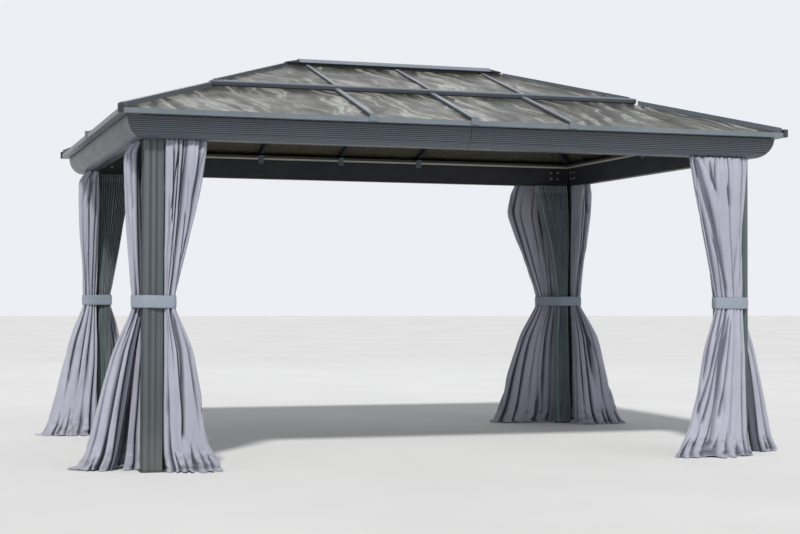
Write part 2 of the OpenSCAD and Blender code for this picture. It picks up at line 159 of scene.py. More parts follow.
def painted(name, base, other, rough=0.42, wear=0.35, dirt=0.25, metal=0.0, radius=0.0022, lines=None, above=None):
    """Powder-coated metal: fine orange peel, uneven tone, dusty foot, lighter worn edges; with ribs or flutes it also
    paints highlights on crests and shade in grooves.
    """
    k = Mat(name)
    co = k.tc.outputs["Object"]
    big = k.noise(co, 2.3, 5.0, 0.6)
    streak = k.noise(k.mapped(co, (17, 17, 1.3)), 1.0, 4.0, 0.6)
    speck = k.noise(co, 260.0, 2.0, 0.7)
    col = k.mix(k.remap(big, 0.35, 0.65), (*base, 1), (*other, 1))
    dark = tuple(c * 0.78 for c in base)
    col = k.mix(k.remap(streak, 0.52, 0.75, 0.0, 0.35), col, (*dark, 1))
    col = k.mix(k.remap(speck, 0.6, 0.8, 0.0, 0.22), col, (*[min(1, c * 1.7 + 0.03) for c in base], 1))
    z = k.sep(co)[2]
    relief = None
    if lines == "ribs":
        # painted highlights on the crests and painted shade in the grooves along the cornice: the CAD's own grooves,
        # and the same pitch on round the curve below
        xyz, nn = k.sep(co), k.sep(k.geo.outputs["True Normal"])
        side = k.math("GREATER_THAN", k.math("ABSOLUTE", nn[0]), k.math("ABSOLUTE", nn[1]))
        out = k.math("ADD", k.math("MULTIPLY", side, k.math("SUBTRACT", k.math("ABSOLUTE", xyz[0]), L2)),
                     k.math("MULTIPLY", k.math("SUBTRACT", 1.0, side), k.math("SUBTRACT", k.math("ABSOLUTE", xyz[1]), W2)))
        turn = k.math("ARCTAN2", k.math("DIVIDE", k.math("SUBTRACT", 2.049, z), 0.124), k.math("DIVIDE", out, 0.100))
        face = k.remap(out, 0.001, 0.003)
        g_up = k.remap(k.math("FRACT", k.math("DIVIDE", k.math("SUBTRACT", 2.0305, z), 0.011)), 0.46, 0.54, 1.0, 0.0)
        g_up = k.math("MULTIPLY", g_up, k.math("MULTIPLY", k.remap(z, 1.9585, 1.9590), k.remap(z, 2.0303, 2.0307, 1.0, 0.0)))
        g_lo = k.remap(k.math("FRACT", k.math("DIVIDE", k.math("SUBTRACT", turn, 0.860), 0.104)), 0.38, 0.46, 1.0, 0.0)
        g_lo = k.math("MULTIPLY", g_lo, k.math("MULTIPLY", k.remap(z, 1.9580, 1.9585, 1.0, 0.0), k.remap(turn, 1.44, 1.46, 1.0, 0.0)))
        groove_shade = k.math("MULTIPLY", face, k.math("MAXIMUM", g_up, g_lo))
        crest_highlight = k.math("MULTIPLY", face, k.math("MULTIPLY", k.math("SUBTRACT", 1.0, groove_shade), k.remap(z, 2.030, 2.033, 1.0, 0.0)))
        # the painted crest highlight grows stronger further round the curve
        crest_highlight = k.math("MULTIPLY", crest_highlight, k.remap(turn, 0.3, 1.3, 0.45, 0.85))
        col = k.mix(crest_highlight, col, (*[min(1, c * 1.95 + 0.012) for c in base], 1))
        col = k.mix(k.math("MULTIPLY", groove_shade, 0.70), col, (*[c * 0.34 for c in base], 1))
        # painted shadow line along the top of the cornice, under the eave trim
        col = k.mix(k.math("MULTIPLY", k.remap(z, 2.034, 2.037), 0.35), col, (*[c * 0.45 for c in base], 1))
        # the butt joint at the middle of each run
        seam = k.math("MAXIMUM", k.remap(k.math("ABSOLUTE", xyz[0]), 0.0018, 0.0026, 1.0, 0.0),
                      k.remap(k.math("ABSOLUTE", xyz[1]), 0.0040, 0.0055, 1.0, 0.0))
        col = k.mix(k.math("MULTIPLY", seam, 0.75), col, (*[c * 0.3 for c in base], 1))
        relief = k.math("SUBTRACT", 1.0, k.math("MAXIMUM", g_lo, seam))
    elif lines == "flutes":
        xyz, nn = k.sep(co), k.sep(k.geo.outputs["True Normal"])
        px_ = k.math("SUBTRACT", 1.978, k.math("ABSOLUTE", xyz[0]))
        py_ = k.math("SUBTRACT", 1.328, k.math("ABSOLUTE", xyz[1]))
        side = k.math("GREATER_THAN", k.math("ABSOLUTE", nn[0]), 0.5)
        pp = k.math("ADD", k.math("MULTIPLY", side, py_), k.math("MULTIPLY", k.math("SUBTRACT", 1.0, side), px_))
        st = k.math("SINE", k.math("MULTIPLY", k.math("SUBTRACT", pp, 0.0275), 2 * math.pi / 0.036))
        zone = k.math("MULTIPLY", k.remap(pp, 0.010, 0.014), k.remap(pp, 0.100, 0.104, 1.0, 0.0))
        # painted shade in the flute hollows and painted highlight on the crests between them
        col = k.mix(k.math("MULTIPLY", zone, k.remap(st, 0.55, 0.85, 0.0, 0.68)), col, (*[c * 0.36 for c in base], 1))
        col = k.mix(k.math("MULTIPLY", zone, k.remap(st, -0.6, 0.2, 0.50, 0.0)), col, (*[min(1, c * 1.8) for c in base], 1))
        hair = k.math("SINE", k.math("MULTIPLY", pp, 2 * math.pi / 0.0075))
        col = k.mix(k.math("MULTIPLY", zone, k.remap(hair, 0.2, 0.9, 0.0, 0.22)), col, (*[c * 0.45 for c in base], 1))
        # darker towards the bottom of the posts
        col = k.mix(k.remap(z, 0.2, 1.75, 0.50, 0.0), col, (*[c * 0.50 for c in base], 1))
        relief = k.math("MULTIPLY", k.math("MULTIPLY", zone, st), -1.0)
    if above is not None:
        col = k.mix(k.remap(z, above[0], above[0] + 0.0008), col, (*above[1], 1))
    low = k.math("MULTIPLY", k.remap(z, 0.0, 0.42, 1.0, 0.0, True), k.remap(big, 0.3, 0.7, 0.3, 1.0))
    col = k.mix(k.math("MULTIPLY", low, dirt), col, (0.23, 0.22, 0.19, 1))
    nb, em = k.edge(radius, 2.2)
    em = k.math("MULTIPLY", em, k.remap(k.noise(co, 30.0, 3.0), 0.35, 0.7, 0.25, 1.0))
    col = k.mix(k.math("MULTIPLY", em, wear), col, (*[min(1, c * 1.9 + 0.05) for c in base], 1))
    ro = k.remap(big, 0.3, 0.7, rough - 0.07, rough + 0.07)
    ro = k.math("ADD", ro, k.math("MULTIPLY", low, 0.18), clamp=True)
    nrm = k.bump(k.noise(co, 620.0, 2.0, 0.5), 0.22, 0.0004, k.bump(k.noise(co, 9.0, 2.0), 0.12, 0.004, nb))
    if relief is not None:
        nrm = k.bump(relief, 0.7, 0.0016, nrm)
    return k.done(k.bsdf(Base_Color=col, Roughness=ro, Metallic=metal, Normal=nrm, Specular_IOR_Level=0.45).outputs[0])


def sheet_plastic(name, axis):
    """Smoked twin-wall roof sheet: glossy top with marbled streaks of painted reflection, dark olive underside, fine
    flutes down the slope.
    """
    k = Mat(name)
    co = k.tc.outputs["Object"]
    nz = k.sep(k.geo.outputs["Normal"])[2]
    up = k.remap(nz, -0.1, 0.1)
    xyz = k.sep(co)
    along, down = (xyz[0], xyz[1]) if axis == "x" else (xyz[1], xyz[0])
    # painted reflections: marbled streaks that sweep diagonally across the sheets
    warp = k.n("ShaderNodeTexNoise", {"Vector": co, "Scale": 1.25, "Detail": 3.0, "Roughness": 0.5}).outputs[1]
    moved = k.n("ShaderNodeVectorMath", {0: co, 1: k.n("ShaderNodeVectorMath", {0: warp, 3: 0.80 if axis == "x" else 0.60}, operation="SCALE").outputs[0]},
                operation="ADD").outputs[0]
    turned = k.mapped(moved, (1, 1, 1), (0, 0, math.radians(78 if axis == "x" else 12)))
    st = k.noise(k.mapped(turned, (0.75, 5.4, 1.2)), 2.1, 4.0, 0.55, 0.35)
    fine = k.noise(k.mapped(turned, (1.6, 22.0, 2.0)), 2.0, 5.0, 0.7, 0.25)
    blot = k.noise(co, 1.1, 3.0, 0.5)
    m = k.math("ADD", k.math("MULTIPLY", st, 0.74), k.math("MULTIPLY", fine, 0.26))
    # the ramp paints the reflections as light and dark streaks over the dark smoke
    top = k.ramp(m, [(0.35, (0.014, 0.014, 0.011)), (0.435, (0.030, 0.030, 0.025)), (0.50, (0.070, 0.070, 0.060)),
                     (0.55, (0.132, 0.132, 0.118)), (0.605, (0.325, 0.327, 0.308)), (0.655, (0.105, 0.105, 0.092)), (0.71, (0.27, 0.272, 0.256))])
    top = k.mix(k.remap(blot, 0.42, 0.62, 0.0, 0.35), top, (0.052, 0.051, 0.040, 1))
    under = k.mix(k.remap(st, 0.25, 0.75), (0.074, 0.068, 0.048, 1), (0.096, 0.089, 0.066, 1))
    flute = k.math("SINE", k.math("MULTIPLY", along, 2 * math.pi / 0.0105))
    top = k.mix(k.remap(flute, -1.0, 1.0, 0.0, 0.10), top, (0.03, 0.03, 0.025, 1))
    under = k.mix(k.remap(flute, 0.2, 1.0, 0.0, 0.35), under, (0.02, 0.018, 0.012, 1))
    col = k.mix(up, under, top)
    dust = k.remap(k.noise(co, 40.0, 4.0, 0.7), 0.45, 0.75, 0.0, 0.12)
    col = k.mix(dust, col, (0.31, 0.30, 0.27, 1))
    ro = k.remap(k.noise(co, 6.0, 4.0), 0.3, 0.7, 0.22, 0.40)
    h = k.math("ADD", k.math("MULTIPLY", flute, 0.5), k.math("MULTIPLY", k.noise(co, 14.0, 2.0), 2.5))
    nrm = k.bump(h, 0.35, 0.0009)
    return k.done(k.bsdf(Base_Color=col, Roughness=ro, Normal=nrm, Specular_IOR_Level=0.35, IOR=1.3).outputs[0])


def cloth(name, base, other, size, rough=0.62, through=0.10, bands=(0.045, 0.035, 0.02, 0.02), weave=0.0016):
    """Polyester curtain: plain weave, seams near the edges, soft creases, slightly see-through to light."""
    k = Mat(name)
    co = k.tc.outputs["Object"]
    uv = k.sep(k.tc.outputs["UV"])
    w, ln = size
    a = k.math("SINE", k.math("MULTIPLY", uv[0], 2 * math.pi / weave))
    b = k.math("SINE", k.math("MULTIPLY", uv[1], 2 * math.pi / weave))
    wv = k.math("MULTIPLY", a, b)
    slub = k.noise(k.mapped(k.tc.outputs["UV"], (900, 40, 1)), 1.0, 2.0)
    soft = k.noise(co, 3.1, 4.0, 0.6)
    col = k.mix(k.remap(soft, 0.35, 0.65), (*base, 1), (*other, 1))
    col = k.mix(k.remap(wv, -1.0, 1.0, 0.0, 0.10), col, (*[c * 0.6 for c in base], 1))
    col = k.mix(k.remap(slub, 0.5, 0.75, 0.0, 0.10), col, (*[min(1, c * 1.3) for c in base], 1))
    z = k.sep(co)[2]
    low = k.math("MULTIPLY", k.remap(z, 0.0, 0.16, 1.0, 0.0, True), k.remap(k.noise(co, 13.0, 4.0), 0.35, 0.7))
    col = k.mix(k.math("MULTIPLY", low, 0.45), col, (0.17, 0.16, 0.15, 1))
    height = k.math("ADD", k.math("MULTIPLY", wv, 0.12), k.math("MULTIPLY", slub, 0.25))
    # a doubled hem with a stitched line at the top, the bottom and both sides
    for c, end, band in ((uv[1], 0.0, bands[0]), (uv[1], ln, bands[1]), (uv[0], 0.0, bands[2]), (uv[0], w, bands[3])):
        d = k.math("ABSOLUTE", k.math("SUBTRACT", c, end))
        inside = k.remap(d, band - 0.0008, band + 0.0008, 1.0, 0.0)
        line = k.remap(k.math("ABSOLUTE", k.math("SUBTRACT", d, band - 0.004)), 0.0006, 0.0014, 1.0, 0.0)
        other_c = uv[0] if c is uv[1] else uv[1]
        dash = k.remap(k.math("SINE", k.math("MULTIPLY", other_c, 2 * math.pi / 0.006)), -0.2, 0.2)
        line = k.math("MULTIPLY", line, dash)
        col = k.mix(k.math("MULTIPLY", inside, 0.12), col, (*[c2 * 0.7 for c2 in base], 1))
        col = k.mix(k.math("MULTIPLY", line, 0.7), col, (*[c2 * 0.45 for c2 in base], 1))
        height = k.math("ADD", height, k.math("SUBTRACT", k.math("MULTIPLY", inside, 1.0), line))
    # little light gets to the bottom of the folds
    fold = k.n("ShaderNodeAttribute", attribute_name="fold").outputs["Fac"]
    col = k.mix(k.remap(fold, 0.12, 0.80, 0.0, 0.80, True), col, (*[c2 * q2 for c2, q2 in zip(base, (0.20, 0.22, 0.27))], 1))
    crease = k.noise(k.mapped(co, (22, 22, 5)), 1.0, 5.0, 0.62, 0.6)
    pucker = k.noise(k.mapped(co, (55, 55, 26)), 1.0, 3.0, 0.6)
    nrm = k.bump(crease, 0.30, 0.010)
    nrm = k.bump(pucker, 0.16, 0.004, nrm)
    nrm = k.bump(height, 0.5, 0.0006, nrm)
    s1 = k.bsdf(Base_Color=col, Roughness=rough, Normal=nrm, Sheen_Weight=0.18, Sheen_Roughness=0.5, Specular_IOR_Level=0.32)
    if through <= 0:
        return k.done(s1.outputs[0])
    s2 = k.n("ShaderNodeBsdfTranslucent", {"Color": col, "Normal": nrm})
    mx = k.n("ShaderNodeMixShader", {0: through, 1: s1.outputs[0], 2: s2.outputs[0]})
    return k.done(mx.outputs[0])


def netting(name, base, other):
    """Fine insect net: hexagon-like mesh that lets some light past."""
    k = Mat(name)
    co = k.tc.outputs["Object"]
    uv = k.tc.outputs["UV"]
    cells = k.n("ShaderNodeTexVoronoi", {"Vector": uv, "Scale": 520.0, "Randomness": 0.25}, feature="DISTANCE_TO_EDGE").outputs[0]
    hole = k.remap(cells, 0.10, 0.28)
    soft = k.noise(co, 4.0, 4.0)
    col = k.mix(k.remap(soft, 0.35, 0.65), (*base, 1), (*other, 1))
    streak = k.noise(k.mapped(uv, (16, 1.6, 1)), 1.0, 2.0)
    col = k.mix(k.remap(streak, 0.45, 0.75, 0.0, 0.5), col, (*[min(1, c * 1.9) for c in base], 1))
    # painted shade deep in the net's folds
    fold = k.n("ShaderNodeAttribute", attribute_name="fold").outputs["Fac"]
    col = k.mix(k.remap(fold, 0.3, 1.0, 0.0, 0.65, True), col, (*[c * 0.25 for c in base], 1))
    # the sewn header band has no holes
    head = k.remap(k.sep(uv)[1], 0.060, 0.062, 1.0, 0.0)
    col = k.mix(head, col, (*[min(1, c * 1.25 + 0.02) for c in base], 1))
    hole = k.math("MULTIPLY", hole, k.math("SUBTRACT", 1.0, head))
    nrm = k.bump(cells, 0.4, 0.0005, k.bump(k.noise(k.mapped(co, (30, 30, 6)), 1.0, 4.0), 0.25, 0.006))
    s1 = k.bsdf(Base_Color=col, Roughness=0.7, Normal=nrm, Sheen_Weight=0.25, Sheen_Roughness=0.4, Specular_IOR_Level=0.25)
    s2 = k.n("ShaderNodeBsdfTransparent", {"Color": (1, 1, 1, 1)})
    mx = k.n("ShaderNodeMixShader", {0: k.math("MULTIPLY", hole, 0.38), 1: s1.outputs[0], 2: s2.outputs[0]})
    return k.done(mx.outputs[0])


def zinc(name):
    k = Mat(name)
    co = k.tc.outputs["Object"]
    sp = k.n("ShaderNodeTexVoronoi", {"Vector": co, "Scale": 160.0}).outputs[1]
    col = k.mix(0.25, (0.40, 0.415, 0.43, 1), sp, "MULTIPLY")
    col = k.mix(k.remap(k.noise(co, 60.0, 4.0), 0.45, 0.8, 0.0, 0.5), col, (0.34, 0.33, 0.31, 1))
    nb, em = k.edge(0.0012, 2.0)
    col = k.mix(em, col, (0.85, 0.86, 0.88, 1))
    return k.done(k.bsdf(Base_Color=col, Metallic=0.85, Roughness=k.remap(k.noise(co, 90.0, 3.0), 0.3, 0.7, 0.22, 0.42),
                         Normal=k.bump(k.noise(co, 300.0, 2.0), 0.15, 0.0004, nb)).outputs[0])


def rubber(name):
    k = Mat(name)
    co = k.tc.outputs["Object"]
    col = k.mix(k.remap(k.noise(co, 50.0, 4.0), 0.35, 0.7), (0.012, 0.012, 0.013, 1), (0.030, 0.030, 0.031, 1))
    return k.done(k.bsdf(Base_Color=col, Roughness=k.remap(k.noise(co, 20.0, 3.0), 0.3, 0.7, 0.55, 0.75),
                         Normal=k.bump(k.noise(co, 400.0, 2.0), 0.3, 0.0004)).outputs[0])


SLATE = painted("slate powder coat", (0.060, 0.073, 0.090), (0.076, 0.090, 0.108), 0.40)
# the ribbed coat paints highlights on the cornice crests and shade in its grooves
RIBBED = painted("slate ribbed coat", (0.060, 0.073, 0.090), (0.076, 0.090, 0.108), 0.40, lines="ribs", radius=0.0010)
MID = painted("mid slate coat", (0.105, 0.120, 0.138), (0.125, 0.142, 0.160), 0.40)
# the post coat paints shade in its flutes and highlights on their crests
POST = painted("slate post coat", (0.066, 0.081, 0.088), (0.082, 0.096, 0.103), 0.43, dirt=0.3, lines="flutes", radius=0.0012)
LIGHT = painted("light trim coat", (0.158, 0.178, 0.215), (0.188, 0.208, 0.245), 0.36, wear=0.5)
TRIM = painted("eave trim coat", (0.110, 0.132, 0.152), (0.135, 0.157, 0.178), 0.38, wear=0.5)
DARK = painted("dark coat", (0.018, 0.020, 0.023), (0.028, 0.030, 0.034), 0.45, wear=0.25)
# painted shade: dark navy for faces under the roof sheets and inside the beams
INNER_PAINTED_SHADE = painted("dark navy painted shade coat", (0.020, 0.024, 0.034), (0.030, 0.034, 0.045), 0.42, wear=0.3)
# painted shade: above its lowest 13 mm the cream closure strip is painted dark olive
STRIP_Z = min(v.co.z for v in nodes["eave_closure_strips"].data.vertices)
CREAM_UNDER_PAINTED_SHADE = painted("cream strip under painted shade", (0.50, 0.49, 0.43), (0.58, 0.57, 0.50), 0.55, wear=0.15, dirt=0.1, above=(STRIP_Z + 0.013, (0.050, 0.047, 0.036)))
ZINC = zinc("zinc plated steel")
RUBBER = rubber("black rubber")
SHEET_X = sheet_plastic("smoked sheet front, painted reflections", "x")
SHEET_Y = sheet_plastic("smoked sheet side, painted reflections", "y")
CLOTH_L = cloth("curtain cloth long side", (0.315, 0.325, 0.392), (0.372, 0.377, 0.448), (2.0, 1.95))
CLOTH_S = cloth("curtain cloth short side", (0.315, 0.325, 0.392), (0.372, 0.377, 0.448), (1.4, 1.95))
TIECLOTH = cloth("tie band cloth", (0.185, 0.222, 0.265), (0.225, 0.262, 0.31), (1.2, 0.074), 0.6, 0.0, (0.006, 0.006, 0.008, 0.008), 0.0028)
NETTING = netting("insect net", (0.165, 0.210, 0.228), (0.215, 0.265, 0.285))

finish_of = {}
for n in nodes:
    if n.endswith("_post") or n.endswith("_beam") and not n.startswith("ridge") or n in ("lower_hips", "upper_hips"):
        finish_of[n] = POST if n.endswith("_post") else RIBBED if n.endswith("_beam") else SLATE
    elif n.endswith("eave_trim") or n in ("upper_tier_trim", "rafter_end_clips"):
        finish_of[n] = TRIM
    elif n.endswith("rafters") or n == "ridge_cap":
        finish_of[n] = LIGHT
    elif n in ("front_roof_panels", "back_roof_panels"):
        finish_of[n] = SHEET_X
    elif n in ("left_roof_panels", "right_roof_panels"):
        finish_of[n] = SHEET_Y
    elif n == "eave_closure_strips":
        finish_of[n] = CREAM_UNDER_PAINTED_SHADE
    elif n == "rafter_brackets":
        finish_of[n] = MID
    elif n in ("post_foot_plates", "hip_end_caps", "mid_purlins", "ridge_beam", "ridge_end_caps", "curtain_rails"):
        finish_of[n] = DARK
for n, m in finish_of.items():
    me = nodes[n].data
    me.materials.clear()
    me.materials.append(m)
    for p in me.polygons:
        p.material_index = 0


def give(node, extra, pick):
    """A second finish on the CAD faces that pick(centre, normal) chooses."""
    me = nodes[node].data
    me.materials.append(extra)
    i = len(me.materials) - 1
    for p in me.polygons:
        if pick(p.center, p.normal):
            p.material_index = i


def offset(c, side):
    """Height of a point above the lower tier's top plane, and how far in from the eave it is."""
    d = (EX - abs(c[0])) / KX if side == "x" else EY - abs(c[1])
    return c[2] - zf(d), d


def under(c, q, side):
    o, d = offset(c, side)
    return q[2] < -0.4 or o < (-0.027 if d < DM - 0.01 else 0.0005)


# rafters and hips are painted light on top as a highlight, slate at the sides and painted dark below the sheets as
# shade
for n, side in (("front_rafters", "y"), ("back_rafters", "y"), ("side_rafters", "x")):
    give(n, MID, lambda c, q: q[2] < 0.6)
    give(n, INNER_PAINTED_SHADE, lambda c, q, side=side: under(c, q, side))
for n in ("lower_hips", "upper_hips"):
    give(n, LIGHT, lambda c, q: q[2] > 0.6)
    give(n, INNER_PAINTED_SHADE, lambda c, q: under(c, q, "y") and q[2] < 0.6 and c[2] < zf(max(0, EY - abs(c[1]))) - 0.027)
for n in ("left_eave_trim", "right_eave_trim"):
    give(n, MID, lambda c, q: q[2] < 0.5)
# the step between the tiers is painted dark on its face as a shadow line, under a lighter lip
tz = [nodes["upper_tier_trim"].data.vertices[i].co.z for p in nodes["upper_tier_trim"].data.polygons if abs(p.normal.z) < 0.5 for i in p.vertices]
TIER_STEP_PAINTED_SHADE = painted("tier step coat with painted shade", (0.020, 0.024, 0.034), (0.030, 0.034, 0.045), 0.42, wear=0.3,
               above=(min(tz) + 0.54 * (max(tz) - min(tz)), (0.112, 0.130, 0.155)))
give("upper_tier_trim", TIER_STEP_PAINTED_SHADE, lambda c, q: q[2] < 0.5)

# the beams' inner faces and undersides are painted dark navy as shade
for n, ax, s, flush in (("front_beam", 1, -1, W2), ("back_beam", 1, 1, W2), ("left_beam", 0, -1, L2), ("right_beam", 0, 1, L2)):
    give(n, INNER_PAINTED_SHADE, lambda c, q, ax=ax, s=s, flush=flush: q[ax] * s < -0.5 or (c[2] < 1.96 and q[2] < -0.5 and abs(c[ax]) < flush + 0.001))


# ---------------------------------------------------------------- mesh helpers
def mesh_object(name, verts, faces, material, smooth=True, uv=None):
    me = bpy.data.meshes.new(name)
    me.from_pydata([tuple(map(float, v)) for v in verts], [], faces)
    me.materials.append(material)
    if uv is not None:
        lay = me.uv_layers.new(name="UVMap")
        idx = np.zeros(len(me.loops), int)
        me.loops.foreach_get("vertex_index", idx)
        lay.data.foreach_set("uv", np.asarray(uv, np.float32)[idx].ravel())
    me.polygons.foreach_set("use_smooth", [smooth] * len(me.polygons))
    me.update()
    o = bpy.data.objects.new(name, me)
    bpy.context.scene.collection.objects.link(o)
    return o


def grid_faces(rows, cols, flip=False):
    i, j = np.meshgrid(np.arange(rows - 1), np.arange(cols - 1), indexing="ij")
    a = (i * cols + j).ravel()
    f = np.stack([a, a + 1, a + cols + 1, a + cols], 1)
    if flip:
        f = f[:, ::-1]
    return [tuple(int(x) for x in q) for q in f]


def grid_area(p):
    a, b, c, d = p[:-1, :-1], p[:-1, 1:], p[1:, 1:], p[1:, :-1]
    return float((np.linalg.norm(np.cross(b - a, c - a), axis=2) + np.linalg.norm(np.cross(c - a, d - a), axis=2)).sum() / 2)


def place(side, mx, my):
    """Takes (u, v, z) of a curtain table, in metres, to the row frame."""

    def f(u, v, z):
        if side == "front":
            x, y = -PX + LEG + u, -PY - v
        else:
            x, y = -PX - v, -PY + LEG + u
        return np.stack([x * mx, y * my, z], -1)

    return f, (mx * my > 0) == (side == "front")


def spw(x, e):
    return np.sign(x) * np.abs(x) ** e


# ---------------------------------------------------------------- curtains
# [height, u0, u1, v0, v1] in mm: u along the beam from the post, v outward from its outer face
T_FL = [[0, 34, 352, -64, 56], [60, 14, 322, -64, 56], [160, 6, 268, -60, 52], [400, 5, 236, -54, 50],
        [700, 5, 178, -50, 46], [940, 5, 72, -44, 32], [1030, 5, 72, -44, 32], [1450, 5, 176, -42, 46],
        [1700, 5, 222, -42, 50], [1880, 5, 256, -42, 46], [1922, 5, 262, -40, 24]]
T_FR = [[0, -112, 446, 12, 100], [60, -86, 408, 6, 96], [160, -70, 350, 6, 90], [400, -64, 282, 6, 82],
        [700, -60, 222, 6, 72], [940, -54, 140, 6, 46], [1030, -52, 140, 6, 46], [1450, -40, 236, 6, 70],
        [1700, -62, 292, 6, 76], [1880, -80, 326, 6, 70], [1922, -84, 332, 6, 56]]
T_BL = [[0, 30, 262, -46, 76], [60, 12, 246, -46, 74], [160, 6, 220, -44, 68], [400, 5, 190, -44, 60],
        [700, 5, 138, -42, 50], [940, 5, 66, -40, 36], [1030, 5, 66, -40, 36], [1450, 5, 148, -42, 50],
        [1700, 5, 170, -42, 54], [1880, 5, 178, -42, 48], [1922, 5, 180, -40, 24]]
T_BR = [[0, 36, 556, -48, 96], [60, 10, 520, -46, 92], [160, 5, 486, -44, 86], [400, 5, 424, -44, 74],
        [700, 5, 318, -42, 60], [940, 5, 180, -40, 40], [1030, 5, 180, -40, 40], [1450, 5, 340, -42, 56],
        [1700, 5, 432, -42, 64], [1880, 5, 396, -42, 52], [1922, 5, 386, -40, 24]]


def side_rows(fan, bulge=0, trim=0):
    return [[0, 5, 222, -52, fan], [60, 5, 210, -52, fan * 0.86], [160, 5, 198, -52, fan * 0.78], [400, 5, 186, -52, fan * 0.62],
            [520, 5, 176, -52, fan * 0.54], [700, 5, 152, -52, fan * 0.40], [940, 5, 74, -52, 44 - trim], [1030, 5, 74, -52, 46 - trim],
            [1450, 5, 180, -52, 74 + bulge], [1700, 5, 224, -52, 84 + bulge], [1880, 5, 248, -52, 84 + bulge], [1922, 5, 254, -46, 24]]


def at(table, z, c):
    t = np.asarray(table, float)
    z = np.asarray(z) * 1000
    # smooth between the rows of the table
    fine = np.linspace(t[0, 0], t[-1, 0], 400)
    v = np.interp(fine, t[:, 0], t[:, c])
    ker = np.hanning(31)
    ker /= ker.sum()
    pad = np.concatenate([np.full(15, v[0]), v, np.full(15, v[-1])])
    # keep the tie and the ends where they are
    sm = np.convolve(pad, ker, "valid")
    keep = np.clip(1 - np.abs(fine - TIE * 1000) / 90, 0, 1)
    sm = sm * (1 - keep) + v * keep
    return np.interp(z, fine, sm) / 1000


